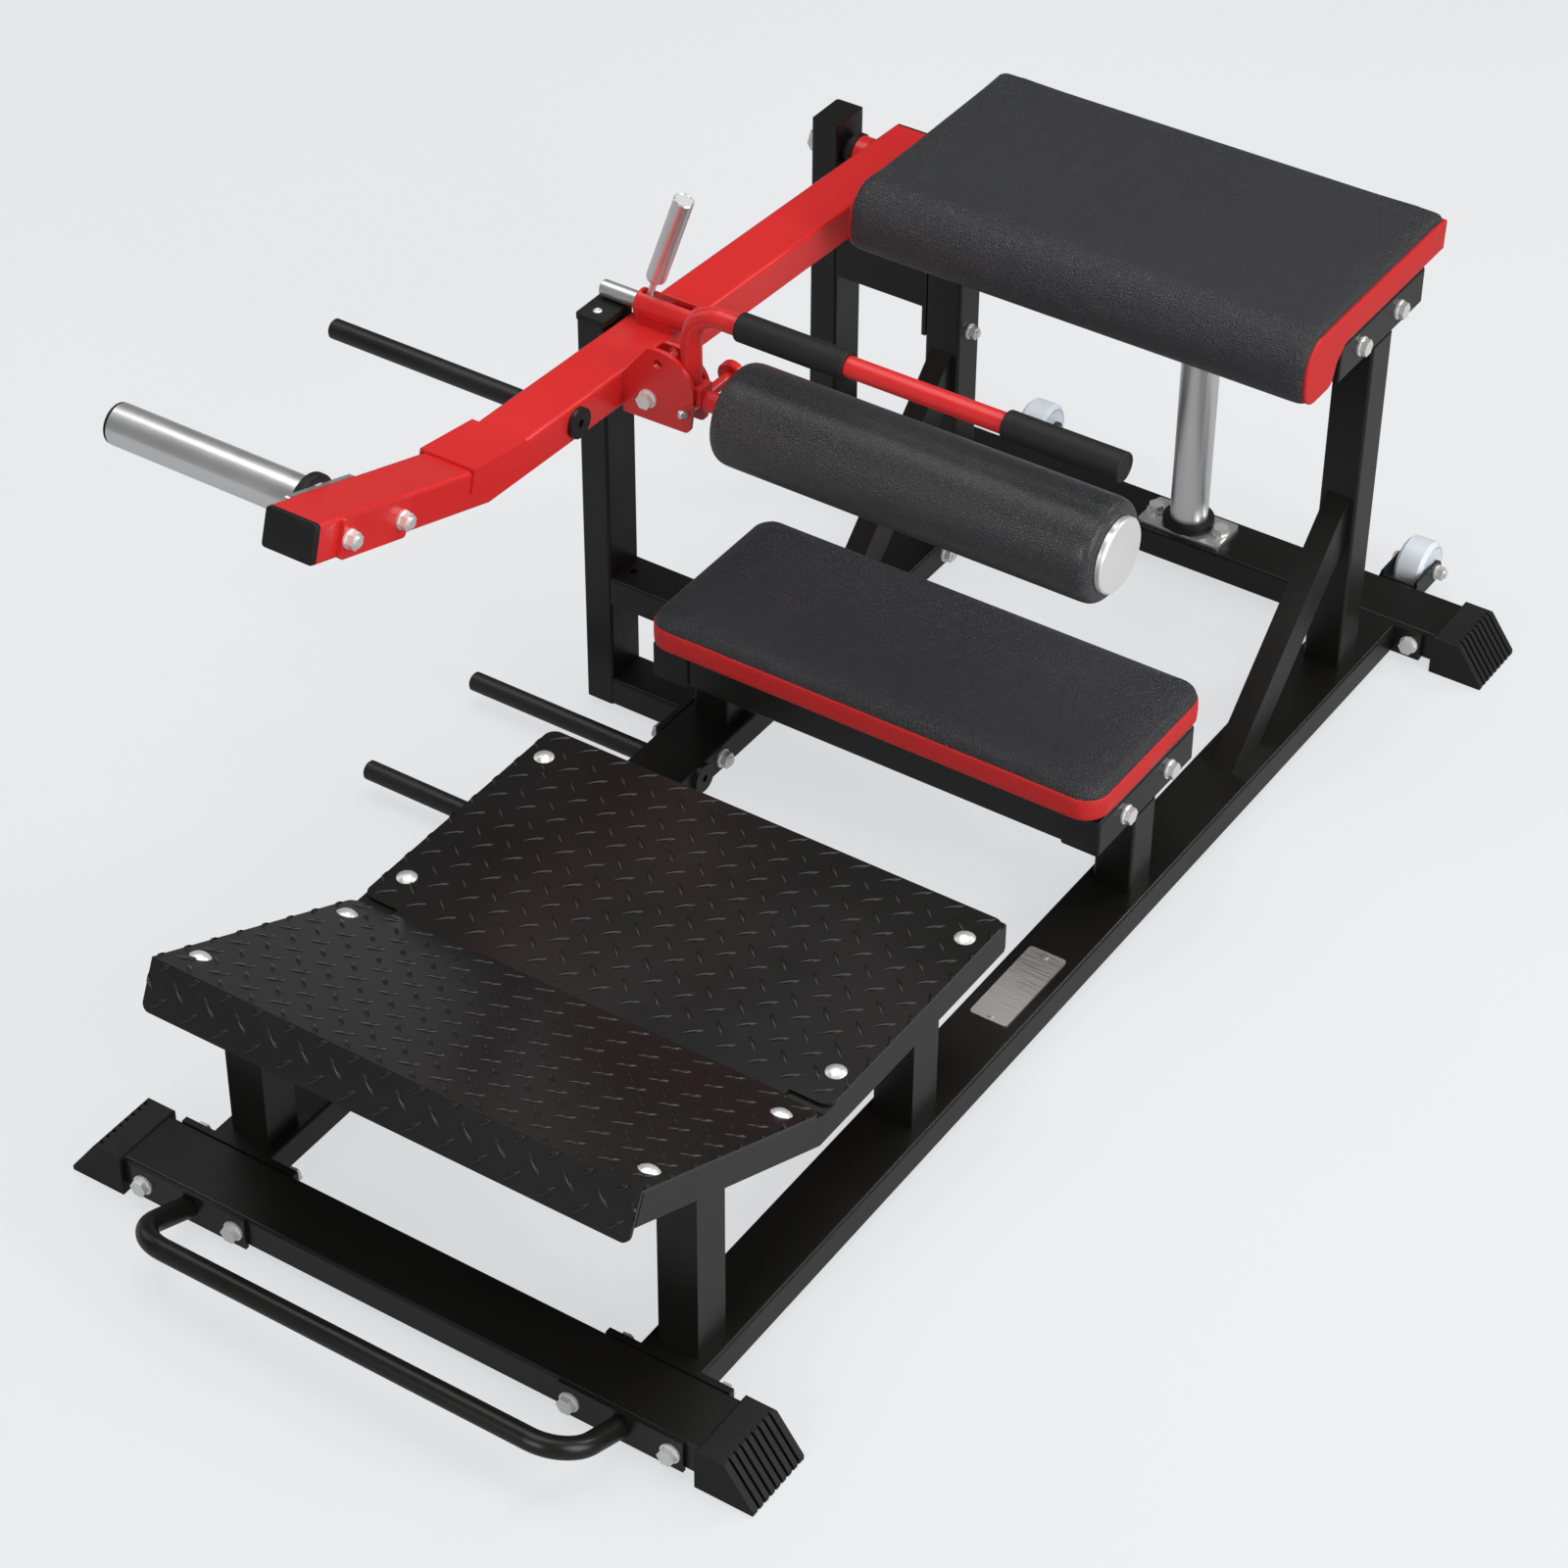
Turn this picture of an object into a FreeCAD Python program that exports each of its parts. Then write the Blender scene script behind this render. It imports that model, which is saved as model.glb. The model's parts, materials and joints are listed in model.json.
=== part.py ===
import FreeCAD, Part
import math
import os
import Sketcher
from FreeCAD import Vector, Rotation, Placement

# Hip thrust machine.
# Frame: +X is the machine's right side, +Y points from the foot end to the
# storage end, +Z is up.  The origin lies on the floor at the middle of the
# machine's overall outline, loading horn included.  Millimetres.
# The dimensions below are laid out from a layout point on the floor, midway
# between the two long rails and under the front face of the front cross
# member; datum_x and datum_y carry that point to its place in the frame.

doc = FreeCAD.newDocument("hip_thrust_machine")

# ---------------------------------------------------------------- dimensions
DIMS = [
    # layout point in the frame
    ("datum_x", 132), ("datum_y", -856.2),
    # base
    ("floor_gap", 11), ("rail_wide", 80), ("rail_high", 40), ("wall", 3),
    ("rail_x", 285), ("cross_half", 378), ("front_y", 40), ("rear_y", 1686),
    ("flange_long", 156), ("flange_thick", 8), ("flange_bolt_x", 63),
    ("foot_top_x", 415), ("foot_bottom_x", 450), ("foot_wide", 94), ("foot_high", 54),
    ("bolt_r", 6), ("bolt_hole_r", 6.5), ("bolt_af_r", 10.7),
    # lift handle
    ("grab_r", 12.5), ("grab_wall", 2.5), ("grab_reach", 100.5), ("grab_x", 285), ("grab_bend", 46), ("grab_root", 12),
    # name plate
    ("badge_long", 136), ("badge_wide", 49), ("badge_thick", 2), ("badge_y", 781),
    # footplate
    ("deck_tube_wide", 50), ("deck_tube_high", 38), ("deck_top", 212), ("deck_bend_y", 337),
    ("deck_rear_y", 702), ("deck_front_y", 13), ("deck_front_z", 362), ("deck_sheet", 4),
    ("deck_half", 309), ("lip_drop", 56), ("post", 50), ("post_front_y", 127), ("post_rear_y", 540),
    ("post_wall", 3), ("deck_bolt_x", 285),
    # seat
    ("seat_frame_low", 165), ("seat_frame_top", 215), ("seat_front_y", 911), ("seat_rear_y", 1124),
    ("seat_post_y", 1018), ("seat_beam", 40), ("seat_board", 6), ("seat_top", 265),
    ("seat_half", 311), ("seat_cush_front", 892), ("seat_cush_rear", 1151), ("seat_corner", 32),
    # backrest
    ("upright_y", 1541), ("upright_top", 526), ("rest_rail_front", 1429), ("rest_rail_rear", 1637),
    ("rest_rail_top", 576), ("pad_top", 630), ("pad_front", 1326), ("pad_rear", 1686),
    ("pad_half", 312), ("pad_nose_low", 533), ("pad_nose_back", 1405.5), ("pad_board", 8),
    ("brace_wide", 30), ("brace_deep", 50), ("brace_top_z", 309), ("brace_x", 284),
    # side posts
    ("side_wide", 40), ("side_deep", 60), ("hold_x", 452), ("hold_y", 1023), ("hold_top", 567),
    ("tall_x", 480), ("tall_y", 1569), ("tall_top", 565), ("link_low", 345), ("link_high", 60),
    ("link_deep", 40), ("upper_low", 165),
    # swinging arm
    ("arm_wide", 70), ("arm_high", 48), ("arm_wall", 3), ("arm_x", 393),
    ("pivot_z", 518.4), ("arm_rear_y", 1622), ("arm_rear_z", 516.05),
    ("elbow_y", 674), ("elbow_z", 558.7), ("arm_front_y", 375), ("arm_front_z", 652.4),
    ("pivot_r", 10), ("pivot_hole_r", 10.08), ("hub_r", 23), ("hub_long", 17),
    # loading horn
    ("horn_r", 25), ("horn_wall", 4), ("horn_long", 275), ("horn_y", 463), ("horn_z", 624.8),
    ("horn_plate_long", 118), ("horn_plate_high", 46), ("horn_plate_thick", 6), ("horn_bolt", 47),
    ("ring_r", 34), ("ring_thick", 12), ("slope", 17.4),
    ("store_y", 1684), ("store_plate_long", 120), ("store_plate_wide", 60), ("store_bolt", 48),
    # band pegs
    ("peg_r", 12.5), ("peg_long", 265), ("peg_z", 31), ("peg_front_y", 701), ("peg_rear_y", 915),
    ("peg_disc_r", 19), ("peg_disc_thick", 6), ("arm_peg_long", 282), ("arm_peg_y", 836), ("arm_peg_z", 551.4),
    # latch
    ("latch_y", 1041), ("latch_z", 586.6), ("latch_r", 10.5), ("latch_hole_r", 10.56),
    ("latch_house_r", 17.5), ("latch_left", 412), ("latch_right", 330),
    # roller frame
    ("swing_x", -322), ("swing_z", 548), ("swing_y", 945), ("roller_y", 948.5), ("swing_r", 8), ("swing_hole_r", 8.08),
    ("lock_radius", 52), ("lock_r", 6), ("lock_hole_r", 6.08), ("lock_angle", 75),
    ("sector_thick", 6), ("sector_gap", 26), ("lever_thick", 24),
    ("grip_bar_r", 12.5), ("grip_bar_z", 676), ("grip_bar_x", -274), ("grip_bar_end", 288), ("grip_r", 17.5),
    ("roller_r", 62), ("roller_z", 557), ("roller_left", -217.5), ("roller_right", 283), ("axle_r", 12.5),
    ("core_r", 30),
    # transport wheels
    ("wheel_r", 37), ("wheel_wide", 38), ("wheel_y", 1785), ("wheel_z", 41), ("wheel_axle_r", 5),
]
sheet = doc.addObject("Spreadsheet::Sheet", "Dim")
values = {}
for row, (alias, value) in enumerate(DIMS, start=1):
    sheet.set("A%d" % row, alias)
    sheet.set("B%d" % row, str(value))
    sheet.setAlias("B%d" % row, alias)
    values[alias] = float(value)
doc.recompute()


class Q:
    """A size: its value and the spreadsheet expression that gives it."""

    def __init__(self, v, e):
        self.v = float(v)
        self.e = e

    def _mix(self, other, op, flip=False):
        o = q(other)
        a, b = (o, self) if flip else (self, o)
        v = {"+": a.v + b.v, "-": a.v - b.v, "*": a.v * b.v, "/": a.v / b.v if b.v else 0}[op]
        return Q(v, "(%s %s %s)" % (a.e, op, b.e))

    def __add__(self, o): return self._mix(o, "+")
    def __radd__(self, o): return self._mix(o, "+", True)
    def __sub__(self, o): return self._mix(o, "-")
    def __rsub__(self, o): return self._mix(o, "-", True)
    def __mul__(self, o): return self._mix(o, "*")
    def __rmul__(self, o): return self._mix(o, "*", True)
    def __truediv__(self, o): return self._mix(o, "/")
    def __neg__(self): return q(0) - self


def q(x):
    return x if isinstance(x, Q) else Q(x, ("%.6f" % float(x)) if x >= 0 else ("(0 - %.6f)" % -float(x)))


def D(name):
    return Q(values[name], "Dim." + name)


# local x, y, z of a piece laid along a world direction
UP = Rotation()
DOWN = Rotation(Vector(1, 0, 0), Vector(0, -1, 0), Vector(0, 0, -1), "ZXY")
ALONG_NX = Rotation(Vector(0, -1, 0), Vector(0, 0, 1), Vector(-1, 0, 0), "ZXY")   # local x->-Y, y->Z, z->-X
ALONG_Y = Rotation(Vector(-1, 0, 0), Vector(0, 0, 1), Vector(0, 1, 0), "ZXY")     # local x->-X, y->Z, z->Y
ALONG_X = Rotation(Vector(0, 1, 0), Vector(0, 0, 1), Vector(1, 0, 0), "ZXY")      # local x->Y, y->Z, z->X
ALONG_NY = Rotation(Vector(1, 0, 0), Vector(0, 0, 1), Vector(0, -1, 0), "ZXY")    # local x->X, y->Z, z->-Y

SUBPARTS = []


def keep(obj, name):
    obj.Label = name
    SUBPARTS.append((name, obj))
    return obj


def place(obj, pos, rot=UP):
    p = [q(c) for c in pos]
    obj.Placement = Placement(Vector(p[0].v, p[1].v, p[2].v), rot)
    for axis, c in zip("xyz", p):
        if "Dim." in c.e:
            obj.setExpression(".Placement.Base." + axis, c.e)
    return obj


def setq(obj, prop, value):
    c = q(value)
    setattr(obj, prop, c.v)
    if "Dim." in c.e:
        obj.setExpression(prop, c.e)


def new_body(name):
    body = doc.addObject("PartDesign::Body", "B_" + name)
    return body


def base_plane(body, role):
    for o in body.Origin.OriginFeatures:
        if o.Role == role:
            return o
    raise RuntimeError(role)


def new_sketch(body, role="XY_Plane", offset=None, turn=None):
    sk = body.newObject("Sketcher::SketchObject", "S_" + body.Name)
    sk.AttachmentSupport = [(base_plane(body, role), "")]
    sk.MapMode = "FlatFace"
    if offset is not None or turn is not None:
        c = q(offset if offset is not None else 0)
        sk.AttachmentOffset = Placement(Vector(0, 0, c.v), turn or Rotation())
        if "Dim." in c.e:
            sk.setExpression(".AttachmentOffset.Base.z", c.e)
    return sk


def pin_vertex(sk, geo, pos, x, y):
    """Fixes one vertex by its distances from the sketch's origin."""
    for kind, c in (("DistanceX", q(x)), ("DistanceY", q(y))):
        if "Dim." in c.e:
            i = sk.addConstraint(Sketcher.Constraint(kind, -1, 1, geo, pos, c.v))
            label = "%s_%d_%d" % (kind.lower(), geo, pos)
            sk.renameConstraint(i, label)
            sk.setExpression("Constraints." + label, c.e)
        else:
            sk.addConstraint(Sketcher.Constraint(kind, -1, 1, geo, pos, c.v))


def draw_poly(sk, pts, closed=True):
    first = sk.GeometryCount
    n = len(pts)
    vec = [Vector(q(a).v, q(b).v, 0) for a, b in pts]
    last = n if closed else n - 1
    for i in range(last):
        sk.addGeometry(Part.LineSegment(vec[i], vec[(i + 1) % n]), False)
    for i in range(last if closed else last - 1):
        sk.addConstraint(Sketcher.Constraint("Coincident", first + i, 2, first + (i + 1) % last, 1))
    for i in range(last):
        pin_vertex(sk, first + i, 1, pts[i][0], pts[i][1])
    if not closed:
        pin_vertex(sk, first + last - 1, 2, pts[-1][0], pts[-1][1])
    return first


def draw_rect(sk, w, h, cx=0, cy=0):
    w, h, cx, cy = q(w), q(h), q(cx), q(cy)
    a, b = w / 2, h / 2
    return draw_poly(sk, [(cx - a, cy - b), (cx + a, cy - b), (cx + a, cy + b), (cx - a, cy + b)])


def draw_circle(sk, r, cx=0, cy=0):
    r, cx, cy = q(r), q(cx), q(cy)
    g = sk.addGeometry(Part.Circle(Vector(cx.v, cy.v, 0), Vector(0, 0, 1), r.v), False)
    pin_vertex(sk, g, 3, cx, cy)
    i = sk.addConstraint(Sketcher.Constraint("Radius", g, r.v))
    if "Dim." in r.e:
        sk.renameConstraint(i, "radius_%d" % g)
        sk.setExpression("Constraints.radius_%d" % g, r.e)
    return g


def pad(body, sk, length, reverse=False, mid=False):
    f = body.newObject("PartDesign::Pad", "P_" + body.Name)
    f.Profile = sk
    setq(f, "Length", length)
    f.Reversed = reverse
    if mid:
        f.Midplane = True
    body.Tip = f
    return f


def cut(body, sk, length=None, reverse=False, both=False):
    """A pocket, checked to have removed material."""
    doc.recompute()
    before = body.Shape.Volume
    f = body.newObject("PartDesign::Pocket", "C_" + body.Name)
    f.Profile = sk
    if length is None:
        f.Type = 1
        if both:
            f.Midplane = True
    else:
        f.Type = 0
        setq(f, "Length", length)
    f.Reversed = reverse
    body.Tip = f
    doc.recompute()
    if body.Shape.Volume >= before - 1e-3:
        f.Reversed = not reverse
        doc.recompute()
        if body.Shape.Volume >= before - 1e-3:
            raise RuntimeError("a pocket removed nothing: " + body.Name)
    return f


def edges_where(shape, test):
    names = []
    for i, e in enumerate(shape.Edges, start=1):
        if test(e):
            names.append("Edge%d" % i)
    return names


def along(e, axis):
    if len(e.Vertexes) != 2:
        return False
    d = e.Vertexes[1].Point - e.Vertexes[0].Point
    return d.Length > 1e-6 and abs(abs(d.dot(axis)) - d.Length) < 1e-6


def round_edges(body, radius, test):
    doc.recompute()
    tip = body.Tip
    names = edges_where(tip.Shape, test)
    if not names:
        raise RuntimeError("no edges to round: " + body.Name)
    f = body.newObject("PartDesign::Fillet", "F_" + body.Name)
    f.Base = (tip, names)
    setq(f, "Radius", radius)
    body.Tip = f
    doc.recompute()
    return f


def tube(name, w, h, t, length, pos, rot, holes=(), round_r=4, plates=(), solid=False):
    """Rectangular hollow section, local z along its length.
    holes: (plane role, u, v, radius, depth or None) cut from that local plane.
    plates: (z start, z end, width, height, cx, cy, [hole u]) end plates."""
    body = new_body(name)
    sk = new_sketch(body)
    w, h, t = q(w), q(h), q(t)
    draw_rect(sk, w, h)
    if not solid:
        draw_rect(sk, w - 2 * t, h - 2 * t)
    pad(body, sk, length)
    if round_r:
        hw, hh = w.v / 2, h.v / 2
        round_edges(body, round_r, lambda e: along(e, Vector(0, 0, 1)) and abs(abs(e.Vertexes[0].X) - hw) < 1e-4
                    and abs(abs(e.Vertexes[0].Y) - hh) < 1e-4)
    for z0, thick, pw, ph, cx, cy, hole_us, hole_v, hr in plates:
        sp = new_sketch(body, offset=z0)
        draw_rect(sp, pw, ph, cx, cy)
        for u in hole_us:
            draw_circle(sp, hr, u, hole_v)
        pad(body, sp, thick)
    for role, u, v, r, off, depth, rev in holes:
        sh = new_sketch(body, role, off)
        draw_circle(sh, r, u, v)
        cut(body, sh, depth, rev, both=depth is None)
    place(body, pos, rot)
    return keep(body, name)


def turned(name, profile, pos, rot, round_at=None):
    """A piece of revolution: profile in (radius, height), turned about local z."""
    body = new_body(name)
    sk = new_sketch(body, "XZ_Plane")
    draw_poly(sk, profile)
    f = body.newObject("PartDesign::Revolution", "T_" + body.Name)
    f.Profile = sk
    f.ReferenceAxis = (sk, ["V_Axis"])
    f.Angle = 360
    body.Tip = f
    doc.recompute()
    if round_at:
        for radius, test in round_at:
            round_edges(body, radius, test)
    place(body, pos, rot)
    return keep(body, name) if name[0] != "_" else body


def cylinder(label, r, length, pos, rot=UP):
    c = doc.addObject("Part::Cylinder", label)
    setq(c, "Radius", r)
    setq(c, "Height", length)
    place(c, pos, rot)
    return c


def box(label, lx, ly, lz, pos, rot=UP):
    b = doc.addObject("Part::Box", label)
    setq(b, "Length", lx)
    setq(b, "Width", ly)
    setq(b, "Height", lz)
    place(b, pos, rot)
    return b


def fuse(label, parts):
    f = doc.addObject("Part::MultiFuse", label)
    f.Shapes = parts
    return f


def minus(label, base, tool):
    f = doc.addObject("Part::Cut", label)
    f.Base = base
    f.Tool = tool
    return f


count = [0]


def bolt(pos, rot, grip, r=None, head=None, nut=True, head_high=8.0, washer_r=None):
    """Hex bolt with washers and nut.  Local z runs from under the head to the nut."""
    count[0] += 1
    n = "bolt%d" % count[0]
    r = q(r if r is not None else D("bolt_r"))
    head = q(head if head is not None else D("bolt_af_r"))
    washer_r = q(washer_r) if washer_r is not None else head + 1.5
    grip = q(grip)
    pieces = []
    hx = doc.addObject("Part::Prism", n + "_head")
    hx.Polygon = 6
    setq(hx, "Circumradius", head)
    hx.Height = head_high
    hx.Placement = Placement(Vector(0, 0, -2.5 - head_high), Rotation())
    pieces.append(hx)
    pieces.append(cylinder(n + "_washer", washer_r, 2.5, (0, 0, -2.5)))
    extra = q(14.5) if nut else q(0)
    pieces.append(cylinder(n + "_shank", r, grip + extra, (0, 0, 0)))
    if nut:
        nt = doc.addObject("Part::Prism", n + "_nut")
        nt.Polygon = 6
        setq(nt, "Circumradius", head)
        nt.Height = 9
        nt.Placement = Placement(Vector(0, 0, grip.v + 2.5), Rotation())
        if "Dim." in grip.e:
            nt.setExpression(".Placement.Base.z", (grip + 2.5).e)
        pieces.append(nt)
        pieces.append(cylinder(n + "_washer2", washer_r, 2.5, (0, 0, grip)))
    f = fuse(n, pieces)
    place(f, pos, rot)
    return f


def stud(pos, rot, grip, r, dome_r, dome_high):
    """Button-head screw: low dome on top, plain shank below local z = 0."""
    count[0] += 1
    n = "screw%d" % count[0]
    ball_r = (dome_r * dome_r + dome_high * dome_high) / (2.0 * dome_high)
    ball = doc.addObject("Part::Sphere", n + "_ball")
    ball.Radius = ball_r
    ball.Placement = Placement(Vector(0, 0, dome_high - ball_r), Rotation())
    keepbox = cylinder(n + "_clip", dome_r + 1, dome_high + 1, (0, 0, 0))
    dome = doc.addObject("Part::Common", n + "_dome")
    dome.Base = ball
    dome.Tool = keepbox
    shank = cylinder(n + "_shank", r, q(grip), (0, 0, -q(grip).v))
    f = fuse(n, [dome, shank])
    place(f, pos, rot)
    return f


def group(name, items):
    c = doc.addObject("Part::Compound", "G_" + name)
    c.Links = items
    return keep(c, name)


X, Y, Z = Vector(1, 0, 0), Vector(0, 1, 0), Vector(0, 0, 1)
rw, rh, wall = D("rail_wide"), D("rail_high"), D("wall")
mid_z = D("floor_gap") + rh / 2
ft = D("flange_thick")

# ------------------------------------------------------------------ base
fb = D("flange_bolt_x")
cross_holes = []
for sx in (-1, 1):
    for sb in (-1, 1):
        # local x is world Y, local y is world Z, local z is world X
        cross_holes.append(sx * D("rail_x") + sb * fb + D("cross_half"))


def cross_member(name, yc, more=()):
    holes = [("YZ_Plane", 0, u, D("bolt_hole_r"), None, None, False) for u in cross_holes] + list(more)
    return tube(name, rw, rh, wall, 2 * D("cross_half"), (-D("cross_half"), yc, mid_z), ALONG_X, holes=holes)


front_cross = cross_member("front_crossmember", D("front_y"))
rear_cross = cross_member("rear_crossmember", D("rear_y"),
                          [("XZ_Plane", D("store_y") - D("rear_y"), D("cross_half") + sb * D("store_bolt"), D("bolt_hole_r"), None, None, False)
                           for sb in (-1, 1)])

rail_from = D("front_y") + rw / 2
rail_to = D("rear_y") - rw / 2
rail_len = rail_to - rail_from


def rail(name, sx, holes):
    us = (-fb, fb)
    return tube(name, rw, rh, wall, rail_len, (sx * D("rail_x"), rail_to, mid_z), ALONG_NY,
                plates=[(0, ft, D("flange_long"), rh, 0, 0, us, 0, D("bolt_hole_r")),
                        (rail_len - ft, ft, D("flange_long"), rh, 0, 0, us, 0, D("bolt_hole_r"))],
                holes=holes)


# the left rail is bored across for the two band pegs and for the outrigger bolts' nuts
peg_holes = []
for py in ("peg_front_y", "peg_rear_y"):
    peg_holes.append(("YZ_Plane", 0, rail_to - D(py), D("peg_r") + 0.3, None, None, False))
hold_bolts = (D("hold_y") - fb, D("hold_y") + fb)
tall_bolts = (D("tall_y") - 91, D("tall_y") + 43)
for oy in hold_bolts + tall_bolts:
    peg_holes.append(("YZ_Plane", 0, rail_to - oy, D("bolt_hole_r"), None, None, False))
left_rail = rail("left_rail", -1, peg_holes)
right_rail = rail("right_rail", 1, [])


# rubber feet: block with a sloping ribbed outer face and a plug into the cross member
def foot(name, sx, yc):
    body = new_body(name)
    sk = new_sketch(body, "XZ_Plane")
    s = 1
    x0, x1, x2 = D("cross_half") + 0.2, D("foot_top_x"), D("foot_bottom_x")
    ztop = D("foot_high")
    # section in XZ: the groove teeth run down the sloping face
    pts = [(x0, 0), (x2, 0), (x2, 6), (x1, ztop), (x0, ztop)]
    draw_poly(sk, pts)
    pad(body, sk, D("foot_wide"), mid=True)
    round_edges(body, 3, lambda e: e.BoundBox.ZMax > ztop.v - 0.01 and e.BoundBox.ZMin > ztop.v - 0.01)
    # plug
    sp = new_sketch(body, "YZ_Plane", offset=x0)
    draw_rect(sp, rw - 2 * wall - 0.6, rh - 2 * wall - 0.6, 0, mid_z)
    pad(body, sp, 10, reverse=True)
    # ribs: vertical-running grooves across the sloping face
    sg = new_sketch(body, "XY_Plane", offset=-1)
    low_x = x2 + (x2 - x1) * (7.0 / (values["foot_high"] - 6.0))
    pitch = D("foot_wide") / 9
    for k in range(8):
        c = -D("foot_wide") / 2 + pitch * (k + 1)
        # triangular groove plan seen from above is applied along the slope by a slanted pocket
        draw_rect(sg, 44, 4.0, low_x + 16.5, c)
    doc.recompute()
    before = body.Shape.Volume
    f = body.newObject("PartDesign::Pocket", "C_" + body.Name)
    f.Profile = sg
    f.Type = 0
    f.Length = 80
    f.Reversed = True
    f.UseCustomVector = True
    f.Direction = Vector(x1.v - x2.v, 0, ztop.v - 6)
    f.AlongSketchNormal = False
    body.Tip = f
    doc.recompute()
    if body.Shape.Volume >= before - 5000:
        f.Reversed = False
        doc.recompute()
        if body.Shape.Volume >= before - 5000:
            raise RuntimeError("grooves %.0f" % (before - body.Shape.Volume))
    place(body, (0, yc, 0), Rotation() if sx > 0 else Rotation(Z, 180))
    return body


group("rubber_feet", [foot("foot_front_right", 1, D("front_y")), foot("foot_front_left", -1, D("front_y")),
                      foot("foot_rear_right", 1, D("rear_y")), foot("foot_rear_left", -1, D("rear_y"))])

# ------------------------------------------------------------ front handle
pipe_body = new_body("front_handle_pipe")
gx, gy, gb, gr = D("grab_x"), D("grab_reach"), D("grab_bend"), D("grab_root")
path = new_sketch(pipe_body, "XY_Plane")
plate_t = 5.0
# legs leave the two backing plates and rise forwards, bend, and join one straight run
path.addGeometry(Part.LineSegment(Vector(-gx.v, gr.v, 0), Vector(-gx.v, -gy.v + gb.v, 0)), False)
path.addGeometry(Part.ArcOfCircle(Part.Circle(Vector(-gx.v + gb.v, -gy.v + gb.v, 0), Z, gb.v), math.pi, 1.5 * math.pi), False)
path.addGeometry(Part.LineSegment(Vector(-gx.v + gb.v, -gy.v, 0), Vector(gx.v - gb.v, -gy.v, 0)), False)
path.addGeometry(Part.ArcOfCircle(Part.Circle(Vector(gx.v - gb.v, -gy.v + gb.v, 0), Z, gb.v), 1.5 * math.pi, 2 * math.pi), False)
path.addGeometry(Part.LineSegment(Vector(gx.v, -gy.v + gb.v, 0), Vector(gx.v, gr.v, 0)), False)
for a, pa, b, pb in ((0, 2, 1, 1), (1, 2, 2, 1), (2, 2, 3, 1), (3, 2, 4, 1)):
    path.addConstraint(Sketcher.Constraint("Coincident", a, pa, b, pb))
pin_vertex(path, 0, 1, -gx, gr)
pin_vertex(path, 4, 2, gx, gr)
pin_vertex(path, 2, 1, gb - gx, -gy)
pin_vertex(path, 2, 2, gx - gb, -gy)
pin_vertex(path, 1, 3, gb - gx, gb - gy)
pin_vertex(path, 3, 3, gx - gb, gb - gy)
prof = new_sketch(pipe_body, "XZ_Plane", offset=-gr)
draw_circle(prof, D("grab_r"), -gx, 0)
draw_circle(prof, D("grab_r") - D("grab_wall"), -gx, 0)
pipe = pipe_body.newObject("PartDesign::AdditivePipe", "Pipe_front_handle")
pipe.Profile = prof
pipe.Spine = path
pipe_body.Tip = pipe
doc.recompute()
place(pipe_body, (0, -4, mid_z), Rotation(X, -22.2))
pieces = [minus("front_handle_trimmed", pipe_body, box("front_handle_cut", 700, 60, 140, (-350, -4.5, mid_z - 70)))]
for s in (-1, 1):
    body = new_body("grab_plate_%d" % (s + 1))
    sp = new_sketch(body, "XZ_Plane")
    draw_rect(sp, D("flange_long"), rh + 2, s * D("rail_x"), mid_z)
    for sb in (-1, 1):
        draw_circle(sp, D("bolt_hole_r"), s * D("rail_x") + sb * fb, mid_z)
    pad(body, sp, plate_t)
    pieces.append(body)
keep(fuse("front_handle_joined", pieces), "front_handle")

# --------------------------------------------------------------- name plate
bt = D("badge_thick")
plate = new_body("name_plate")
sk = new_sketch(plate)
draw_rect(sk, D("badge_wide"), D("badge_long"))
pad(plate, sk, bt)
round_edges(plate, 5, lambda e: along(e, Z))
for s in (-1, 1):
    sk = new_sketch(plate, offset=bt)
    draw_circle(sk, 4, 0, s * (D("badge_long") / 2 - 8))
    pad(plate, sk, 1.6)
place(plate, (D("rail_x"), D("badge_y"), D("floor_gap") + rh))
keep(plate, "name_plate")

# ---------------------------------------------------------------- footplate
rail_top = D("floor_gap") + rh
dt, dw, dh = D("deck_top"), D("deck_tube_wide"), D("deck_tube_high")
rise = math.atan2(values["deck_front_z"] - values["deck_top"], values["deck_bend_y"] - values["deck_front_y"])
ca, sa, ta = math.cos(rise), math.sin(rise), math.tan(rise)
by, ry, fy, fz = D("deck_bend_y"), D("deck_rear_y"), D("deck_front_y"), D("deck_front_z")
half_turn = math.tan(rise / 2)


def bent_section(name, sx):
    """Side tube: level at the rear, rising at the toe end; walls as one bent hollow section."""
    body = new_body(name)
    outer = [(ry, dt), (by, dt), (fy, fz), (fy - dh * sa, fz - dh * ca), (by - dh * half_turn, dt - dh), (ry, dt - dh)]
    sk = new_sketch(body, "YZ_Plane")
    draw_poly(sk, outer)
    pad(body, sk, dw, mid=True)
    w = 3.0
    past = 20.0
    inner = [(ry + past, dt - w), (by - w * half_turn, dt - w), (fy - past * ca - w * sa, fz + past * sa - w * ca),
             (fy - past * ca - (dh - w) * sa, fz + past * sa - (dh - w) * ca),
             (by - (dh - w) * half_turn, dt - dh + w), (ry + past, dt - dh + w)]
    place(body, (sx * D("deck_bolt_x") - sx * 1, 0, 0))
    core = new_body(name + "_core")
    sk2 = new_sketch(core, "YZ_Plane")
    draw_poly(sk2, inner)
    pad(core, sk2, dw - 2 * w, mid=True)
    place(core, (sx * D("deck_bolt_x") - sx * 1, 0, 0))
    return keep(minus("H_" + name, body, core), name)


bent_section("footplate_tube_left", -1)
bent_section("footplate_tube_right", 1)


def slope_z(y):
    """Underside height of the rising tube above a y on its slope."""
    return values["deck_top"] - values["deck_tube_high"] / ca + (values["deck_bend_y"] - y) * ta


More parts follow.
